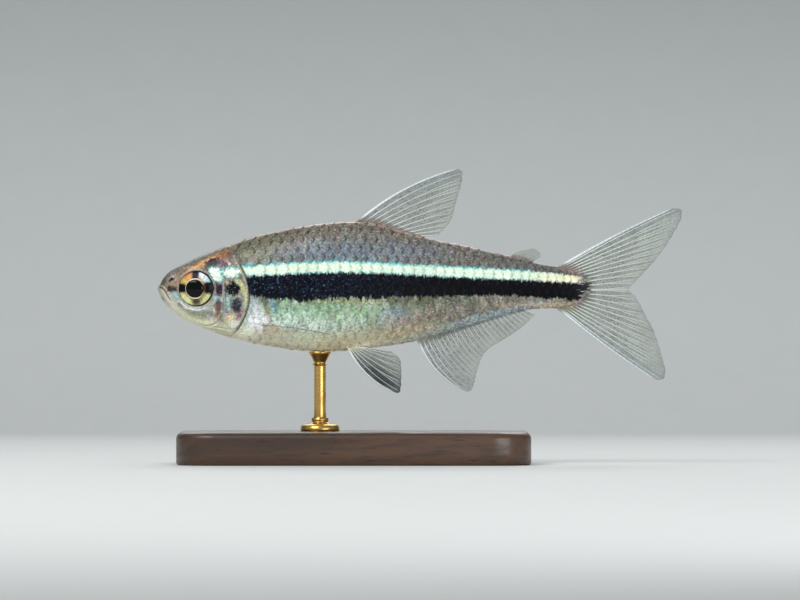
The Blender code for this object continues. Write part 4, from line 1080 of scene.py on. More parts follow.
def map_turn(s, g):
    """The body's angle at s and girth g, read between the table's rows and columns."""
    above = np.maximum(np.interp(s, MAP_S, GIRTH_ABOVE), 1e-9)
    under = np.maximum(np.interp(s, MAP_S, GIRTH_UNDER), 1e-9)
    share = np.clip(np.where(g > 0, g / above, g / under), -1, 1)
    row = np.clip((s - MAP_S[0]) / (MAP_S[-1] - MAP_S[0]) * (len(MAP_S) - 1), 0, len(MAP_S) - 1.001)
    column = np.clip((share + 1) / 2 * (len(MAP_SHARES) - 1), 0, len(MAP_SHARES) - 1.001)
    r, c = row.astype(int), column.astype(int)
    fr, fc = row - r, column - c
    upper = MAP_ANGLE[r, c] * (1 - fc) + MAP_ANGLE[r, c + 1] * fc
    lower = MAP_ANGLE[r + 1, c] * (1 - fc) + MAP_ANGLE[r + 1, c + 1] * fc
    return upper * (1 - fr) + lower * fr


def body_normal(s, turn):
    """Unit normal of the body's surface, from small steps along s and turn."""
    step = 0.01
    along_step = body_point(s + step, turn) - body_point(s - step, turn)
    around_step = body_point(s, turn + step) - body_point(s, turn - step)
    normal = np.cross(along_step, around_step)
    normal /= np.maximum(np.linalg.norm(normal, axis=-1, keepdims=True), 1e-9)
    towards = body_point(s, turn) - np.stack(np.broadcast_arrays(s, 0.0, body_at(s)[0]), axis=-1)
    return normal * np.sign((normal * towards).sum(-1, keepdims=True))


girths = [round(float(np.interp(14, MAP_S, girth)), 2) for girth in (GIRTH_ABOVE, GIRTH_UNDER)]
print("girth in mm at s 14, above and under the stripe", *girths)

# %% [markdown]
# Tiles on the map
#
# A scale is a thin plate of bone, held at its root in a pocket of skin, with a rounded free edge. A
# bump texture would look flat along the fish's outline, so every scale is a small solid leaf. Slight
# random changes of size, lean and lift keep the rows from looking stamped.

# %% Where the scales stand
SCALE_PITCH = 0.82
SCALE_ROW = 0.78
SCALE_LENGTH = 1.50  # of the pitch
SCALE_WIDTH = 0.64  # half width over the row pitch
SCALE_WIDEST = 0.42  # the b at which a scale is widest, which is also the place of its centre
SCALE_THICKNESS = 0.014
SCALE_TIP_LIFT = 0.018
ROOT_DEPTH = 0.062
LEAF_IN_MAP = 0.003  # size of one scale on its UV map, small enough to hold one colour
LEAF_ROWS, LEAF_COLUMNS = 7, 7


def shrink(s):
    """Scales get smaller towards the tail."""
    return np.interp(s, [6, 20, 28, 33], [1.0, 0.97, 0.84, 0.62])


def scale_centres():
    """s and row number of every scale, with every other row shifted by half a pitch."""
    columns = [5.2]
    while columns[-1] < BODY_END - 0.35:
        columns.append(columns[-1] + SCALE_PITCH * shrink(columns[-1]))
    columns = np.array(columns)
    shifted = columns + SCALE_PITCH * shrink(columns) / 2
    rows = np.arange(-12, 8)
    s = np.where(rows[:, None] % 2 == 0, columns[None], shifted[None])
    return s.ravel(), np.repeat(rows, len(columns))


print("places on the map for scales", len(scale_centres()[0]))

# %% A leaf for every scale


def make_scales(side, label, material, seed):
    """Each scale is a grid: b runs from root to tip, with rows closer at the tip, and a across.

    Its half width is (1 - |(b - 0.42) / 0.585|^3.2)^0.5 of the widest, and it rises over the skin as b^0.9.
    """
    draw = np.random.default_rng(seed)
    s0, row = scale_centres()
    pitch = SCALE_PITCH * shrink(s0)
    s0 = s0 + draw.normal(0, 0.025, len(s0)) * pitch
    g0 = row * SCALE_ROW * shrink(s0)
    centre = body_point(s0, map_turn(s0, g0))
    room_above = np.interp(s0, MAP_S, GIRTH_ABOVE) - g0
    room_under = np.interp(s0, MAP_S, GIRTH_UNDER) + g0
    keep = (room_above > 0.12) & (room_under > 0.12)
    keep &= s0 > gill_edge(centre[:, 2]) + 0.42
    keep &= s0 < BODY_END - 0.45 - 0.25 * np.abs(centre[:, 2])
    s0, row, pitch, centre = s0[keep], row[keep], pitch[keep], centre[keep]
    b = np.sin(np.linspace(0, math.pi / 2, LEAF_ROWS))[None, :, None]
    a = np.linspace(-1, 1, LEAF_COLUMNS)[None, None, :]
    size = (1 + draw.normal(0, 0.04, len(s0)))[:, None, None]
    rounded = np.sqrt(np.clip(1 - np.abs((b - SCALE_WIDEST) / 0.585) ** 3.2, 0, 1))
    s = s0[:, None, None] + (b - SCALE_WIDEST) * SCALE_LENGTH * pitch[:, None, None] * size
    s = s - 0.10 * pitch[:, None, None] * a**2 * b
    s = np.minimum(s, BODY_END - 0.02)
    row_pitch = SCALE_ROW * shrink(s)
    lean = draw.normal(0, 0.03, len(s0))[:, None, None]
    g = row[:, None, None] * row_pitch + (a + lean * (b - 0.4)) * SCALE_WIDTH * row_pitch * rounded * size
    g = np.clip(g, -np.interp(s, MAP_S, GIRTH_UNDER), np.interp(s, MAP_S, GIRTH_ABOVE))
    turn = map_turn(s, g)
    base = body_point(s, turn)
    normal = body_normal(s, turn)
    lift = -ROOT_DEPTH + (ROOT_DEPTH + SCALE_TIP_LIFT) * b**0.9 - 0.006 * a**2
    lift = lift + draw.normal(0, 0.0025, len(s0))[:, None, None] * b
    thin = SCALE_THICKNESS * (1 - 0.6 * b**3)
    upper = base + normal * lift[..., None]
    lower = base + normal * (lift - thin)[..., None]
    points = np.stack([upper, lower], axis=1)
    points[..., 1] *= -side
    faces = leaf_faces(len(s0), LEAF_ROWS, LEAF_COLUMNS)
    if side > 0:
        faces = [face[::-1] for face in faces]
    piece = make_piece("scales_" + label, place(*np.moveaxis(points, -1, 0)), faces, material, 50)
    count = 2 * LEAF_ROWS * LEAF_COLUMNS
    middle = place(centre[:, 0] + 0.25 * pitch, -side * centre[:, 1], centre[:, 2])
    add_values(piece, "scale_middle", np.repeat(middle, count, axis=0))
    add_values(piece, "scale_chance", np.repeat(draw.random(len(s0)), count))
    rim = fade(b, 0.66, 1.0) + 0 * a
    add_values(piece, "scale_rim", np.tile(np.concatenate([rim.ravel(), rim.ravel()]), len(s0)))
    root_u = 0.02 + 0.96 * s0 / TOTAL_LENGTH
    root_v = np.where(side < 0, 0.0, 0.5) + 0.5 * (map_turn(s0, row * SCALE_ROW * shrink(s0)) / math.pi - 0.5)
    leaf_u = np.broadcast_to(b, (1, LEAF_ROWS, LEAF_COLUMNS)).ravel() - 0.5
    leaf_v = np.broadcast_to(a, (1, LEAF_ROWS, LEAF_COLUMNS)).ravel() / 2
    patch = np.stack([np.tile(leaf_u, 2), np.tile(leaf_v, 2)], axis=1) * LEAF_IN_MAP
    roots = np.stack([root_u, root_v], axis=1)
    add_map(piece, "OFBake", (roots[:, None] + patch[None]).reshape(-1, 2))
    print("scales on the", label, len(s0))


# %% The scales, their dark rims and their finish
scale_material, shader, n = new_material(
    "tetra scales", Coat_Roughness=0.22, IOR=1.36, Specular_IOR_Level=0.15
)
where = object_place(n)
shared = n.add("Mix", data_type="VECTOR")  # a little of each scale's middle evens its colour
shared.inputs[0].default_value = 0.12
n.feed(shared.inputs[4], where)
n.feed(shared.inputs[5], n.attribute("scale_middle", "Vector"))
marks = n.group(marking_group, Place=shared.outputs[1], Ragged=0.7)
rim = n.attribute("scale_rim")
uneven_rim = n.plus(rim, n.ramp(n.noise(where, 0.12), 0.3, 0.7, -0.4, 0.3))
dark_rim = n.times(n.ramp(uneven_rim, 0.2, 1.0), n.blend(marks["Back"], 0.45, 0.85))
tone = n.mix(dark_rim, marks["Color"], n.mix(0.80, marks["Color"], paint(48, 42, 36)))
tone = n.mix(1.0, tone, n.blend(rim, n.blend(marks["Back"], 1.04, 1.16), 1.0), "MULTIPLY")
chance = n.ramp(n.attribute("scale_chance"), 0.0, 1.0, 0.93, 1.07, smooth=False)
n.feed(shader.inputs["Base Color"], n.mix(1.0, tone, chance, "MULTIPLY"))
n.feed(shader.inputs["Metallic"], marks["Shine"])
n.feed(shader.inputs["Coat Weight"], n.blend(marks["Wet"], 0.02, 0.16))
n.feed(shader.inputs["Roughness"], n.ramp(n.noise(where, 0.2), 0.3, 0.7, 0.26, 0.44))
bump_normal(n, shader, n.noise(where, 0.07, 3.0, 0.6), 0.006)

for side, label, seed in ((-1, "left", 11), (1, "right", 12)):
    make_scales(side, label, scale_material, seed)

# %% [markdown]
# Eyes
#
# A fish's eye is a flattened ball with a ball lens that shows through the round pupil. The iris is
# metal-bright with a dark bar at pupil level that carries the black band across it. Each eye is one
# closed ball turned a little towards the snout, and the pupil is a second, darker dome that stands
# through it, so its edge stays sharp from every side.

# %% The iris: its patches, spokes and bright inner ring
EYE_DOME, EYE_DEPTH = 0.40, 0.85
PUPIL_RADIUS, PUPIL_DOME = 0.69, 0.16
PUPIL_FORWARD = 0.06
BALL_GRID, PUPIL_GRID = (40, 72), (24, 48)  # rings and points round
IRIS_PATCHES = {
    "dull lower half": (2.97, -0.80, 1.20, 0.70, 0, 0.4, (150, 150, 108), 0.9, 0.3),
    "ivory arc, front": (2.20, -0.86, 0.60, 0.20, -48, 0.6, (236, 238, 178), 1.0, 0.3),
    "ivory arc, rear": (3.72, -0.86, 0.60, 0.20, 48, 0.6, (228, 230, 166), 1.0, 0.3),
    "smudge at the bottom": (2.97, -1.02, 0.26, 0.28, 0, 0.6, (74, 66, 58), 1.0, 0.1),
    "gold front": (2.10, 0.50, 0.42, 0.42, 40, 0.5, (222, 190, 108), 1.0, 0.3),
    "orange top front": (2.42, 0.94, 0.38, 0.20, 34, 0.8, (190, 120, 70), 1.0, 0.3),
    "white rear": (3.62, 0.86, 0.52, 0.34, -42, 0.45, (240, 248, 250), 1.0, 0.2),
    "cyan rear": (3.98, 0.46, 0.30, 0.16, -50, 0.6, (176, 226, 230), 1.0, 0.2),
    "violet top": (2.90, 1.02, 0.27, 0.44, 0, 0.4, (20, 15, 44), 1.0, 0.0),
    "bar in front": (1.85, -0.06, 0.56, 0.34, 0, 0.3, (10, 9, 12), 1.0, 0.0),
    "bar behind": (4.10, -0.04, 0.66, 0.46, 0, 0.3, (9, 9, 14), 1.0, 0.0),
}
eye_material, shader, n = new_material(
    "tetra iris", Roughness=0.34, Coat_Weight=0.08, Coat_Roughness=0.03, IOR=1.33, Specular_IOR_Level=0.12
)
where = object_place(n)
along, up = along_and_up(n, where)
from_s = n.over(n.minus(along, EYE_S - PUPIL_FORWARD), math.cos(EYE_TURN))
from_h = n.minus(up, EYE_H)
radius = n.length(from_s, from_h)
angle = n.math("ARCTAN2", from_h, from_s)
spokes = n.add("TexNoise", noise_dimensions="2D")
n.feed(spokes.inputs["Vector"], n.joined(n.times(angle, 9.0), n.times(radius, 1.6)))
spokes.inputs["Scale"].default_value = 1.0
uneven = n.sway(n.noise(where, 0.3, 3.0), 0.9)
iris_color, iris_shine = lay_patches(n, (along, up), IRIS_PATCHES, paint(150, 148, 120), 0.3, uneven)
iris_color = n.mix(n.ramp(spokes.outputs["Fac"], 0.45, 0.75, 0.0, 0.35), iris_color, paint(40, 34, 30))
iris_color = n.mix(n.ramp(radius, 1.25, 1.32), iris_color, paint(46, 40, 38))
warm_side = n.ramp(from_s, 0.75, -0.1, 0.35, 1.0)
ring = n.times(n.line(radius, 0.74, 0.06, 0.03), warm_side)
ring_color = n.mix(n.ramp(from_s, 0.30, 0.72), paint(248, 224, 192), paint(156, 84, 64))
iris_color = n.mix(ring, iris_color, ring_color)
n.feed(shader.inputs["Base Color"], iris_color)
n.feed(shader.inputs["Metallic"], iris_shine)
bump_normal(n, shader, spokes.outputs["Fac"], 0.012)

print("iris nodes", len(eye_material.node_tree.nodes))

# %% The pupil, and the shape of both
pupil_material, shader, n = new_material(
    "tetra pupil", Roughness=0.12, Coat_Weight=0.15, Coat_Roughness=0.02, IOR=1.33, Specular_IOR_Level=0.25
)
deep = n.ramp(n.noise(object_place(n), 0.5), 0.3, 0.7)
n.feed(shader.inputs["Base Color"], n.mix(deep, paint(2, 2, 4), paint(8, 8, 12)))


def eye_place(forward, upward, out):
    """The eye's own axes turned towards the snout: forward and out mix by cos and sin of the turn."""
    s = EYE_S - forward * math.cos(EYE_TURN) - out * math.sin(EYE_TURN)
    y = flank(EYE_S, EYE_H) - EYE_SUNK + out * math.cos(EYE_TURN) - forward * math.sin(EYE_TURN)
    return s, y, EYE_H + upward


def dome_grid(radius, height, depth, rings, around):
    """Profile r = radius x cos p, out = height x sin p (depth below), turned round the eye's axis."""
    p = np.linspace(-math.pi / 2 + 0.06, math.pi / 2 - 0.03, rings)[:, None]
    turn = np.linspace(0, 2 * math.pi, around, endpoint=False)[None]
    out = np.where(p > 0, height, depth) * np.sin(p) + 0 * turn
    return radius * np.cos(p) * np.cos(turn), radius * np.cos(p) * np.sin(turn), out


def make_eye(side, label):
    """The ball, and the pupil's dome moved out so that it stands a little through the iris."""
    forward, upward, out = dome_grid(EYE_RADIUS - 0.01, EYE_DOME, EYE_DEPTH, *BALL_GRID)
    s, y, h = eye_place(forward, upward, out)
    faces = tube_faces(1, *BALL_GRID)
    ball = make_piece("eye_ball_" + label, place(s, side * y, h), faces, eye_material)
    forward, upward, out = dome_grid(PUPIL_RADIUS, PUPIL_DOME, 0.2, *PUPIL_GRID)
    stand_out = EYE_DOME * math.sqrt(1 - (PUPIL_RADIUS / EYE_RADIUS) ** 2) + 0.005
    s, y, h = eye_place(forward + PUPIL_FORWARD, upward, out + stand_out)
    faces = tube_faces(1, *PUPIL_GRID)
    make_piece("eye_pupil_" + label, place(s, side * y, h), faces, pupil_material)
    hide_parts("eye_" + label)


for side, label in ((-1, "left"), (1, "right")):
    make_eye(side, label)

# %% [markdown]
# Fins
#
# A fin is a clear skin stretched over jointed rays that fork towards the margin. One formula serves
# them all: a straight run from root to margin, bowed towards the leading edge. u runs out along a
# ray and v across the fin, so the membrane is a fine grid of u and v, and every ray is a thin tube
# along a line of nearly constant v. Ending each ray a little under the skin hides its root.

# %% Fin outlines: s and h
DORSAL = {
    "root": ((15.35, 5.10), (16.90, 4.90), (18.40, 4.42), (20.10, 3.96)),
    "margin": (
        (22.86, 9.06), (23.10, 9.06), (23.27, 8.90), (23.31, 8.55), (23.16, 7.69), (22.78, 6.40),
        (22.40, 5.13), (21.42, 3.95),
    ),
    "rays": 11,
    "bow": 0.50,
}
ADIPOSE = {
    "root": ((27.05, 2.44), (27.90, 2.20), (28.70, 1.98)),
    "margin": ((28.00, 2.84), (28.73, 2.97), (29.22, 2.66), (29.26, 2.32)),
    "rays": 0,
    "bow": 0.10,
}
ANAL = {
    "root": ((19.90, -4.07), (22.60, -3.30), (25.40, -2.42), (28.10, -1.72)),
    "margin": (
        (23.32, -7.84), (23.60, -7.96), (23.86, -7.95), (24.07, -7.72), (24.22, -7.24), (24.39, -6.50),
        (24.72, -5.48), (25.06, -4.93), (25.62, -4.47), (26.41, -4.00), (27.53, -3.27), (28.25, -2.66),
        (28.88, -2.04),
    ),
    "rays": 25,
    "bow": 0.50,
}
TAIL_UPPER = {
    "root": ((30.70, 1.58), (31.60, 1.34), (32.30, 1.00), (32.80, 0.55), (33.00, -0.15)),
    "margin": (
        (39.30, 6.03), (39.62, 6.09), (39.90, 6.05), (40.08, 5.88), (40.11, 5.58), (39.93, 4.98),
        (39.50, 4.22), (38.93, 3.27), (38.00, 2.05), (36.84, 0.80), (36.36, 0.28), (35.96, -0.15),
    ),
    "rays": 12,
    "crowd": 1.15,
    "forks": (0.28, 0.55),
    "bow": 0.16,
}
TAIL_LOWER = {
    "root": ((30.60, -1.56), (31.50, -1.44), (32.20, -1.16), (32.75, -0.72), (33.00, -0.19)),
    "margin": (
        (38.00, -6.99), (38.32, -7.09), (38.62, -7.02), (38.80, -6.80), (38.85, -6.50), (38.79, -6.05),
        (38.55, -5.20), (38.27, -4.25), (37.89, -3.20), (37.41, -2.30), (36.84, -1.20), (36.46, -0.60),
        (35.96, -0.19),
    ),
    "rays": 12,
    "crowd": 1.15,
    "forks": (0.28, 0.55),
    "bow": 0.16,
}
PELVIC = {
    "root": ((14.55, -4.62), (15.05, -4.60), (15.60, -4.56)),
    "margin": (
        (18.00, -7.95), (18.25, -8.06), (18.45, -8.04), (18.57, -7.80), (18.62, -7.10), (18.62, -6.20),
        (18.50, -5.45), (17.80, -4.86),
    ),
    "rays": 8,
    "bow": 0.44,
}
PECTORAL = {
    "root": ((7.80, -2.85), (7.86, -3.06), (7.92, -3.28)),
    "margin": ((13.28, -3.56), (12.95, -4.02), (12.05, -4.40), (11.10, -4.50), (10.20, -4.34), (9.35, -3.98)),
    "rays": 11,
    "bow": 0.12,
}
ROOT_LENGTH = 0.55  # of each ray, hidden under the skin
print("rays", {"dorsal": DORSAL["rays"], "anal": ANAL["rays"], "tail": 2 * TAIL_UPPER["rays"]})

# %% Where a point of a fin lies


def fin_point(fin, u, v):
    """s, h = root + (margin - root) u, bowed to the leading side by 4 u (1 - u) bow (1 - v)^2.5."""
    root, margin = along_path(fin["root"], v), along_path(fin["margin"], v)
    run = margin - root
    lead = np.stack([run[..., 1], -run[..., 0]], axis=-1)
    lead /= np.linalg.norm(lead, axis=-1, keepdims=True)
    ahead = np.array(fin["root"][0]) - np.array(fin["root"][-1])
    lead *= np.sign(lead @ ahead)[..., None]
    bow = fin["bow"] * (1 - v) ** 2.5 * 4 * np.clip(u, 0, 1) * (1 - u)
    return root + run * u[..., None] + lead * bow[..., None]


def hidden_root(fin, v):
    """The u, below 0, at which a ray ends inside the body."""
    run = np.linalg.norm(along_path(fin["margin"], v) - along_path(fin["root"], v), axis=-1)
    return -ROOT_LENGTH / run


def middle_side(s, h, u):
    """Unpaired fins stand in the middle plane."""
    return 0 * s


def pelvic_side(s, h, u):
    """Pelvic fins splay outwards as they hang down."""
    return 0.72 + 0.30 * np.maximum(-4.75 - h, -0.3)


def pectoral_side(s, h, u):
    """Pectoral fins leave the flank and stand off it more towards their tips."""
    start = flank(np.minimum(s, 9.0), np.maximum(h, -3.6))
    return start - 0.12 + 0.95 * np.clip(u, 0, 1) ** 1.2 + 0.30 * fade(u, -0.05, 0.3)


tip_s, tip_h = fin_point(DORSAL, np.array(1.0), np.array(0.0))
print("tip of the dorsal fin, s and h in mm", round(float(tip_s), 2), round(float(tip_h), 2))

# %% [markdown]
# Membranes
#
# Between its rays a fin is clear skin, thinner than paper, that hangs in slight waves. A sheet with no
# thickness would have no edge to catch the light, so this one has two faces and a rim. The waves are
# a sine across the fin that grows outwards, where a real membrane is free to move.

# %% Membranes


def ripple(u, v, amount):
    """A gentle wave across the fin that grows towards the margin, as a real membrane relaxes."""
    return amount * np.clip(u, 0, 1) ** 2 * np.sin(9.5 * v + 2.2 * u)


def make_membrane(name, fin, side_of, side, material, thickness=0.035, wave=0.05, rows=44, columns=121):
    """A closed sheet: the grid of u and v, set off by half a thickness each way and scalloped outside."""
    v = np.linspace(0, 1, columns)[None]
    start = hidden_root(fin, v)
    rays = max(fin["rays"] - 1, 1)
    scallop = 0.007 * np.sin(np.pi * v * rays) ** 2 if fin["rays"] else 0 * v
    t = np.linspace(0, 1, rows)[:, None]
    u = start + (1 - scallop - start) * t
    v = v + 0 * t
    spot = fin_point(fin, u, v)
    s, h = spot[..., 0], spot[..., 1]
    y = side_of(s, h, u) + ripple(u, v, wave)
    half = thickness * (1.0 - 0.65 * np.clip(u, 0, 1)) / 2
    points = np.stack([place(s, side * (y + half), h), place(s, side * (y - half), h)])
    piece = make_piece(name, points, leaf_faces(1, rows, columns), material)
    add_map(piece, "fin", np.tile(np.stack([u.ravel(), v.ravel()], axis=1), (2, 1)))
    return piece


print("wave at the dorsal fin's margin, in mm", np.round(ripple(1.0, np.linspace(0, 1, 5), 0.05), 3))

# %% [markdown]
# Rays
#
# A soft ray is a row of tiny bony joints that splits in two, and often in two again, on its way out.
# Welding forks is fiddly, and a tube for every branch isn't: the branches of one ray lie inside each
# other at first and part where the ray forks. Later branches start at the fork, so no tube is wasted.

# %% Rays
RAY_RINGS, RAY_SIDES = 30, 6
RAY_JOINTS = 26  # from root to margin
FORKS = (0.40, 0.66)  # the u of the first and the second fork, where a fin doesn't say otherwise
FORK_OPENING = (0.22, 0.11)  # how far each fork opens, as a share of the rays' spacing


def ray_table(fin, unbranched):
    """One row for each tube: its v, the u where it starts, and its two forks' sides (+1, -1 or 0)."""
    v = 0.004 + 0.992 * np.linspace(0, 1, fin["rays"]) ** fin.get("crowd", 1)
    forked = v[unbranched:]
    plain = v[:unbranched]
    plain = np.stack([plain, -1 + 0 * plain, 0 * plain, 0 * plain], axis=1)
    early, late = fin.get("forks", FORKS)
    forks = ((-1, 1, 1), (late, 1, -1), (early, -1, 1), (late, -1, -1))
    tubes = [
        np.stack([forked, 0 * forked + start, 0 * forked + a, 0 * forked + b], axis=1)
        for start, a, b in forks
    ]
    return np.concatenate([plain, *tubes])


def make_rays(name, fin, side_of, side, material, root_radius, unbranched=2, wave=0.05, lead_boost=1.5):
    """Tubes along v = v0 + spacing x forks, thinner towards the tip, with a tiny notch at every joint."""
    table = ray_table(fin, unbranched)
    v0, begin, first_fork, second_fork = (table[:, k][:, None] for k in range(4))
    start = np.where(begin < 0, hidden_root(fin, v0), begin)
    t = np.linspace(0, 1, RAY_RINGS)[None]
    end = np.where(begin < 0, 0.995, 0.985)
    u = start + (end - start) * t
    spacing = 1 / max(fin["rays"] - 1, 1)
    early, late = fin.get("forks", FORKS)
    first = FORK_OPENING[0] * first_fork * fade(u, early, early + 0.6)
    second = FORK_OPENING[1] * second_fork * fade(u, late, late + 0.4)
    v = np.clip(v0 + spacing * (first + second), 0.002, 0.998)
    spot = fin_point(fin, u, v)
    s, h = spot[..., 0], spot[..., 1]
    y = side_of(s, h, u) + ripple(u, v, wave)
    path = np.stack([s, y, h], axis=-1)
    way = np.gradient(path, axis=1)
    way /= np.linalg.norm(way, axis=-1, keepdims=True)
    outward_y = np.broadcast_to(np.array([0.0, 1.0, 0.0]), way.shape)
    across = np.cross(way, outward_y)
    across /= np.linalg.norm(across, axis=-1, keepdims=True)
    upright = np.cross(across, way)
    radius = root_radius * (1 - 0.52 * np.clip(u, 0, 1)) * np.where(begin < 0, 1.0, 0.8)
    radius = radius * np.where(v0 < 0.5 * spacing, lead_boost, 1.0)
    radius = radius * (1 - 0.75 * fade(t, 0.93, 1.0))
    joint = 1 - 0.16 * bump(((u * RAY_JOINTS) % 1) - 0.5, 0.16) * fade(u, 0.12, 0.25)
    radius = radius * joint
    turn = np.linspace(0, 2 * math.pi, RAY_SIDES, endpoint=False)
    ring = (
        path[:, :, None]
        + across[:, :, None] * (radius[..., None] * np.cos(turn))[..., None]
        + upright[:, :, None] * (1.25 * radius[..., None] * np.sin(turn))[..., None]
    )
    ring[..., 1] *= side
    faces = tube_faces(len(table), RAY_RINGS, RAY_SIDES)
    if side > 0:
        faces = [face[::-1] for face in faces]
    piece = make_piece(name, place(*np.moveaxis(ring, -1, 0)), faces, material)
    uv = np.stack([np.broadcast_to(u, v.shape), v], axis=-1)
    add_map(piece, "fin", np.repeat(uv.reshape(-1, 2), RAY_SIDES, axis=0))


# %% [markdown]
# Fin materials
#
# Fins are mostly see-through, with a faint grey-green tint and the colours of the body bleeding into
# their roots. Alpha from nodes does this: nearly solid at the root, clear between the rays. The rays
# are milky, with darker joints, and the leading ones are bluish white.

# %% Fin materials


def fin_uv(nodes):
    """u along the ray and v across the fin, from the fin's own map."""
    axes = nodes.parts(nodes.add("UVMap", uv_map="fin").outputs["UV"])
    return axes["X"], axes["Y"]


def root_tint(nodes, marks):
    """The body's own colour, a little dulled, for the roots of membranes and rays."""
    return nodes.mix(0.35, marks["Color"], paint(110, 104, 96))


def membrane_material(
    name, tint, front_tint, clear, front_clear, front_reach=0.35, root_reach=0.10, dark_from=-1.0, dash=1.0
):
    """A clear tint, with the body's colour over the root.

    front_tint and front_clear hold from the leading edge to front_reach across the fin, and only
    outside the u called dark_from. dash scales the small dark marks between the rays; 0 is none.
    """
    made, shader, n = new_material(name, Roughness=0.30, IOR=1.33, Coat_Weight=0.2, Coat_Roughness=0.1)
    where = object_place(n)
    u, v = fin_uv(n)
    marks = n.group(marking_group, Place=where, Ragged=0.3)
    cloud = n.noise(where, 1.2, 3.0)
    front = n.times(
        n.ramp(v, front_reach, 0.0), n.ramp(cloud, 0.2, 0.5), n.ramp(u, dark_from, dark_from + 0.45)
    )
    color = n.mix(front, paint(*tint), paint(*front_tint))
    root = n.ramp(n.plus(u, n.sway(cloud, 0.12)), root_reach, -0.02)
    see = n.plus(n.blend(front, clear, front_clear), n.ramp(cloud, 0.3, 0.8, -0.05, 0.07))
    dash_place = n.joined(n.times(u, 4 * MM), n.times(v, 11 * MM))
    dots = n.ramp(n.noise(dash_place, 0.17, 2.0), 0.54, 0.66)
    dots = n.times(dots, n.ramp(u, 1.0, 0.1, 0.2 * dash, 0.6 * dash))
    see = n.plus(see, n.times(dots, 0.6), clamp=True)
    color = n.mix(dots, color, paint(44, 50, 46))
    n.feed(shader.inputs["Base Color"], n.mix(root, color, root_tint(n, marks)))
    n.feed(shader.inputs["Alpha"], n.blend(root, see, 0.95))
    bump_normal(n, shader, n.noise(where, 0.15, 2.0), 0.006)
    return made


def ray_material(name, pale, lead, alpha=0.85):
    """Milky rays: a darker line at every joint, and a paler colour along the leading edge."""
    made, shader, n = new_material(name, Roughness=0.35, IOR=1.45, Coat_Weight=0.3, Coat_Roughness=0.15)
    where = object_place(n)
    u, v = fin_uv(n)
    marks = n.group(marking_group, Place=where, Ragged=0.3)
    color = n.mix(n.ramp(v, 0.14, 0.02), paint(*pale), paint(*lead))
    beat = n.math("FRACT", n.times(u, RAY_JOINTS))
    joint = n.times(n.line(beat, 0.5, 0.16, 0.04), n.ramp(u, 0.12, 0.25, 0.0, 0.32))
    color = n.mix(joint, color, paint(112, 112, 104))
    root = n.ramp(u, 0.10, 0.0)
    n.feed(shader.inputs["Base Color"], n.mix(root, color, root_tint(n, marks)))
    n.feed(shader.inputs["Alpha"], n.blend(root, n.ramp(u, 0.0, 1.0, alpha, alpha * 0.8), 1.0))
    return made


clear_membrane = membrane_material("clear fin membrane", (96, 108, 98), (120, 132, 132), 0.24, 0.34)
pelvic_membrane = membrane_material(
    "pelvic fin membrane", (112, 124, 118), (42, 52, 66), 0.20, 0.66, 0.70, 0.08, 0.08
)
pectoral_membrane = membrane_material(
    "pectoral fin membrane", (214, 212, 190), (120, 104, 92), 0.03, 0.28, 0.05, dash=0.0
)
adipose_membrane = membrane_material(
    "adipose fin skin", (136, 150, 138), (168, 176, 164), 0.34, 0.52, 0.5, 0.3, dash=0.0
)
tail_membrane = membrane_material("tail fin membrane", (96, 108, 98), (120, 132, 132), 0.24, 0.34, 0.35, 0.20)
pale_rays = ray_material("fin rays", (216, 220, 210), (240, 246, 248), 0.95)
tail_rays = ray_material("tail rays", (216, 224, 212), (232, 240, 242), 0.98)
pectoral_rays = ray_material("pectoral rays", (214, 210, 192), (92, 76, 68), 0.20)
print("membrane nodes", len(clear_membrane.node_tree.nodes), "ray nodes", len(pale_rays.node_tree.nodes))

# %% [markdown]
# Putting the fins on
#
# Dorsal, adipose, anal and tail fins stand in the middle plane, and pelvic and pectoral fins come in
# pairs. One function makes them all, so they look like one fish's. What differs is a few numbers: the
# thickness of the rays, how many don't branch, and how much the first stands out.

# %% Unpaired fins
dorsal = make_membrane("dorsal_membrane", DORSAL, middle_side, 1, clear_membrane)
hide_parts("dorsal_fin")
make_rays("dorsal_rays", DORSAL, middle_side, 1, pale_rays, 0.052, lead_boost=1.9)

adipose = make_membrane("adipose_skin", ADIPOSE, middle_side, 1, adipose_membrane, 0.16, 0.0, 24, 25)
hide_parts("adipose_fin")

anal = make_membrane("anal_membrane", ANAL, middle_side, 1, clear_membrane, columns=193)
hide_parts("anal_fin")
make_rays("anal_rays", ANAL, middle_side, 1, pale_rays, 0.042, unbranched=4, lead_boost=2.2)

for fin, part in ((TAIL_UPPER, "upper"), (TAIL_LOWER, "lower")):
    lobe = make_membrane("caudal_membrane_" + part, fin, middle_side, 1, tail_membrane, wave=0.03)
    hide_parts("caudal_fin_" + part)
    make_rays("caudal_rays_" + part, fin, middle_side, 1, tail_rays, 0.050, wave=0.03, lead_boost=1.9)

# %% Paired fins
for side, label in ((-1, "left"), (1, "right")):
    pelvic = make_membrane("pelvic_membrane_" + label, PELVIC, pelvic_side, side, pelvic_membrane, wave=0.03)
    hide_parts("pelvic_fin_" + label)
    make_rays("pelvic_rays_" + label, PELVIC, pelvic_side, side, pale_rays, 0.040, wave=0.03, lead_boost=2.2)
    pectoral = make_membrane(
        "pectoral_membrane_" + label, PECTORAL, pectoral_side, side, pectoral_membrane, wave=0.03
    )
    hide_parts("pectoral_fin_" + label)
    make_rays("pectoral_rays_" + label, PECTORAL, pectoral_side, side, pectoral_rays, 0.030, 1, 0.03, 2.0)

# %% [markdown]
# The stand
#
# A plain base of dark stained wood and a turned brass rod hold the fish up. The base is a profile
# carried round a rectangle with round corners, and the rod is a profile turned round its axis.
# Both profiles are a few points and arcs, so the bead and the chamfer catch the light as real ones do.

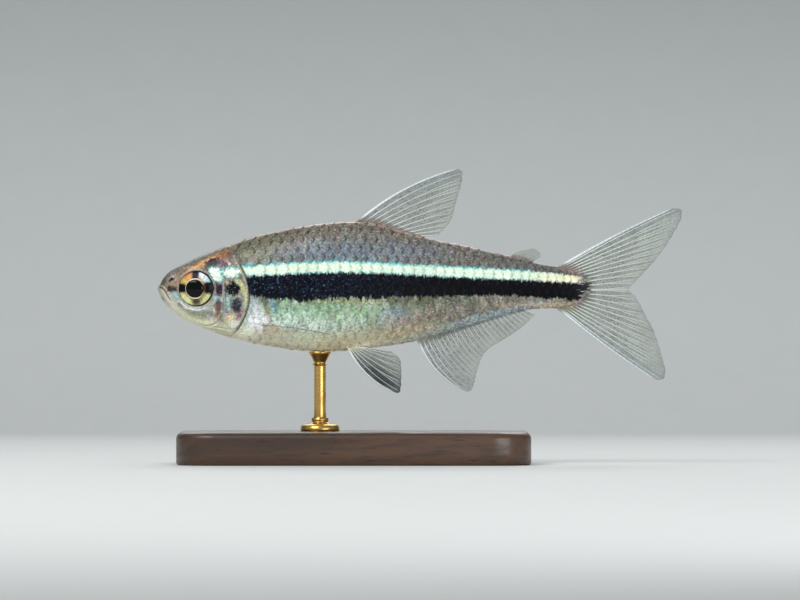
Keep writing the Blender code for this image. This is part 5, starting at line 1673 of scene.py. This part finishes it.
# %% Stand finishes
wood_material, shader, n = new_material("stained base wood", Coat_Weight=0.35, Coat_Roughness=0.22)
grain_place = n.stretched(object_place(n), (0.12, 1.0, 1.0))
grain = n.noise(grain_place, 0.55, 6.0, 0.6)
rings_wood = n.noise(grain_place, 2.2, 2.0, 0.5)
pores = n.noise(grain_place, 0.14, 2.0, 0.6)
wood = n.mix(n.ramp(rings_wood, 0.35, 0.65), paint(58, 38, 26), paint(84, 56, 36))
wood = n.mix(n.ramp(grain, 0.45, 0.70, 0.0, 0.6), wood, paint(36, 23, 16))
wood = n.mix(n.ramp(pores, 0.62, 0.70, 0.0, 0.8), wood, paint(20, 13, 9))
n.feed(shader.inputs["Base Color"], wood)
n.feed(shader.inputs["Roughness"], n.ramp(grain, 0.3, 0.7, 0.34, 0.52))
bump_normal(n, shader, n.mix(0.5, grain, pores), 0.03, 0.6)

brass_material, shader, n = new_material("turned brass", Metallic=1.0)
where = object_place(n)
tool_marks = n.noise(n.stretched(where, (0.1, 0.1, 1.0)), 0.08, 2.0)
tarnish = n.noise(where, 1.4, 4.0)
brass = n.mix(n.ramp(tarnish, 0.4, 0.75), paint(214, 178, 104), paint(176, 136, 72))
n.feed(shader.inputs["Base Color"], brass)
dulled = n.plus(n.ramp(tarnish, 0.3, 0.8, 0.16, 0.34), n.ramp(tool_marks, 0.3, 0.7, 0.0, 0.08))
n.feed(shader.inputs["Roughness"], dulled)
bump_normal(n, shader, tool_marks, 0.004)
print("wood nodes", len(wood_material.node_tree.nodes), "brass nodes", len(brass_material.node_tree.nodes))

# %% The base and the rod
base_low, base_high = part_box("stand_base")
rod_low, rod_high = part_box("stand_rod")
BASE_CORNER = 3.0
BASE_CHAMFER = 0.5


def make_base():
    """A profile of (inset, height) pairs, carried round a rectangle whose corners are quarter circles."""
    half_x = (base_high.x - base_low.x) / 2 / MM
    half_y = (base_high.y - base_low.y) / 2 / MM
    top = (base_high.z - base_low.z) / MM
    bevel = np.linspace(0, math.pi / 2, 7)
    edge_in, edge_up = BASE_CHAMFER * (1 - np.cos(bevel)), BASE_CHAMFER * np.sin(bevel)
    inset = np.concatenate([[0.35, 0.12, 0.0, 0.0, 0.0], edge_in, [0.8, 1.1, 2.2, 6.0]])
    level = np.concatenate([[0.0, 0.04, 0.16, 0.9, 1.55], top - BASE_CHAMFER + edge_up, [top] * 4])
    corner = np.linspace(0, math.pi / 2, 13)
    angle = np.concatenate([corner + k * math.pi / 2 for k in range(4)])
    across = np.repeat([1, -1, -1, 1], len(corner))
    deep = np.repeat([1, 1, -1, -1], len(corner))
    radius = np.maximum(BASE_CORNER - inset, 0.05)[:, None]
    pull = np.maximum(inset - (BASE_CORNER - 0.05), 0)[:, None]
    x = across * (half_x - BASE_CORNER - pull) + radius * np.cos(angle)
    y = deep * (half_y - BASE_CORNER - pull) + radius * np.sin(angle)
    x = x + (base_high.x + base_low.x) / 2 / MM
    y = y + (base_high.y + base_low.y) / 2 / MM
    z = level[:, None] + 0 * x
    points = np.stack([x, y, z], axis=-1) * MM
    faces = tube_faces(1, len(level), len(angle))
    piece = make_piece("base_board", points, faces, wood_material, 50)
    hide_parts("stand_base")


def make_rod():
    """A turned profile (radius, height) from the foot on the base to a cup under the belly."""
    middle_x = (rod_high.x + rod_low.x) / 2 / MM
    foot = base_high.z / MM
    top = rod_high.z / MM
    profile = smooth_through(
        (
            (1.45, foot), (1.50, foot + 0.22), (1.34, foot + 0.50), (0.80, foot + 0.62), (0.62, foot + 0.74),
            (0.66, foot + 0.90), (0.60, foot + 1.04), (0.47, foot + 1.15), (0.45, foot + 2.6),
            (0.45, top - 1.35), (0.47, top - 1.10), (0.60, top - 0.98), (0.47, top - 0.86),
            (0.62, top - 0.55), (0.84, top - 0.16), (0.82, top - 0.04),
        ),
        120,
    )
    turn = np.linspace(0, 2 * math.pi, 48, endpoint=False)
    x = middle_x + profile[:, :1] * np.cos(turn)
    y = profile[:, :1] * np.sin(turn)
    z = profile[:, 1:] + 0 * x
    points = np.stack([x, y, z], axis=-1) * MM
    piece = make_piece("rod", points, tube_faces(1, len(profile), len(turn)), brass_material, 50)
    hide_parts("stand_rod")


make_base()
make_rod()

# %% [markdown]
# Studio, light and camera
#
# The floor sweeps up into the backdrop in one sheet, so no horizon shows. The sheet has one side only:
# seen from its back it is clear, so that a walk round the model shows it from behind as well. Alpha
# from the Backfacing output of a Geometry node does this. Four soft lights do what a photographer's
# would: a large key above and to the left of the camera, a fill low on the right, a strip behind that
# edges the back, and a large weak one, above and behind, that lights the far side for the views from
# there. The camera stands level with the fish on a long lens, as in the photograph.

# %% The studio
stage_material, shader, n = new_material("studio paper", Roughness=0.9)
where = object_place(n)
paper = n.noise(where, 3.0, 3.0)
high = n.ramp(n.parts(where)["Z"], 0.0, 90 * MM)
pale = n.mix(paper, paint(211, 214, 213), paint(216, 218, 217))
n.feed(shader.inputs["Base Color"], n.mix(high, pale, paint(124, 134, 132)))
behind = n.add("NewGeometry").outputs["Backfacing"]
n.feed(shader.inputs["Alpha"], n.minus(1.0, behind))
STAGE_HALF, BEND_START, BEND, WALL_TOP = 1200, 160, 90, 500  # mm


def make_stage():
    """Floor, quarter circle and wall as one profile in y and z, carried across in x."""
    arc = np.linspace(0, math.pi / 2, 24)
    y = np.concatenate([[-STAGE_HALF, 0], BEND_START + BEND * np.sin(arc), [BEND_START + BEND]])
    z = np.concatenate([[0, 0], BEND * (1 - np.cos(arc)), [WALL_TOP]])
    x = np.linspace(-STAGE_HALF, STAGE_HALF, 2)[:, None]
    points = np.stack([x + 0 * y, y + 0 * x, z + 0 * x], axis=-1) * MM
    columns = len(y)
    faces = [(columns + k, columns + k + 1, k + 1, k) for k in range(columns - 1)]
    sweep = new_object("studio_sweep", points, faces, stage_material)
    sweep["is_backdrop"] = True
    print("floor faces", "up" if sweep.data.polygons[0].normal.z > 0 else "down")


def add_light(name, place_mm, target_mm, size_mm, watts, tint=(1, 1, 1), spread=180.0):
    """A square soft box that faces its target; spread is the angle, in degrees, that its light fills."""
    light = bpy.data.lights.new(name, "AREA")
    light.shape = "RECTANGLE"
    light.size, light.size_y = size_mm[0] * MM, size_mm[1] * MM
    light.energy = watts
    light.color = tint
    light.spread = math.radians(spread)
    holder = bpy.data.objects.new(name, light)
    bpy.context.scene.collection.objects.link(holder)
    spot = np.array(place_mm, float) * MM
    away = spot - np.array(target_mm, float) * MM
    distance = float(np.linalg.norm(away))
    holder.location = spot
    holder.rotation_euler = (math.acos(away[2] / distance), 0, math.atan2(away[1], away[0]) + math.pi / 2)


make_stage()
FISH_MIDDLE = (0, 0, 13)
add_light("key", (-160, -210, 230), FISH_MIDDLE, (190, 150), 0.62, (1.0, 0.985, 0.96))
add_light("fill", (150, -230, 20), FISH_MIDDLE, (180, 120), 0.34, (0.95, 0.98, 1.0))
add_light("rim", (60, 130, 190), FISH_MIDDLE, (200, 60), 0.12)
add_light("back fill", (0, 205, 165), FISH_MIDDLE, (300, 180), 0.07, spread=60.0)

world = bpy.data.worlds.new("studio air")
bpy.context.scene.world = world
world.use_nodes = True
air = world.node_tree.nodes["Background"].inputs
air["Color"].default_value = (0.80, 0.84, 0.88, 1)
air["Strength"].default_value = 0.46

# %% [markdown]
# The camera
#
# A lens close by would swell the head and shrink the tail. From far away the proportions hold, so the
# camera stands 70 cm off with a long lens: sensor width times distance, over the width to be seen.

# %% The camera
FRAME_WIDTH = 61.2  # mm seen across at the fish's middle plane
CAMERA_AWAY = 700.0
SENSOR = 36.0
camera = bpy.data.cameras.new("camera")
camera.sensor_width = SENSOR
camera.lens = SENSOR * CAMERA_AWAY / FRAME_WIDTH
camera.clip_start = 0.01
camera.clip_end = 5.0
tripod = bpy.data.objects.new("camera", camera)
tripod.location = (-1.53 * MM, -CAMERA_AWAY * MM, 12.55 * MM)
tripod.rotation_euler = (math.pi / 2, 0, 0)
bpy.context.scene.collection.objects.link(tripod)
bpy.context.scene.camera = tripod
bpy.context.scene.view_settings.view_transform = "Standard"
print("lens", round(camera.lens, 1), "mm")

# %% [markdown]
# Sizes
#
# A dressed model should be as large as the solids that it dresses. The lengths of both boxes are printed side
# by side, so that anyone can compare them.

# %% Sizes
look_low, look_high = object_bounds()
lengths = [round((high[0] - low[0]) / MM, 2) for low, high in (cad_box, (look_low, look_high))]
print("length in mm of the solids and of the model", *lengths)
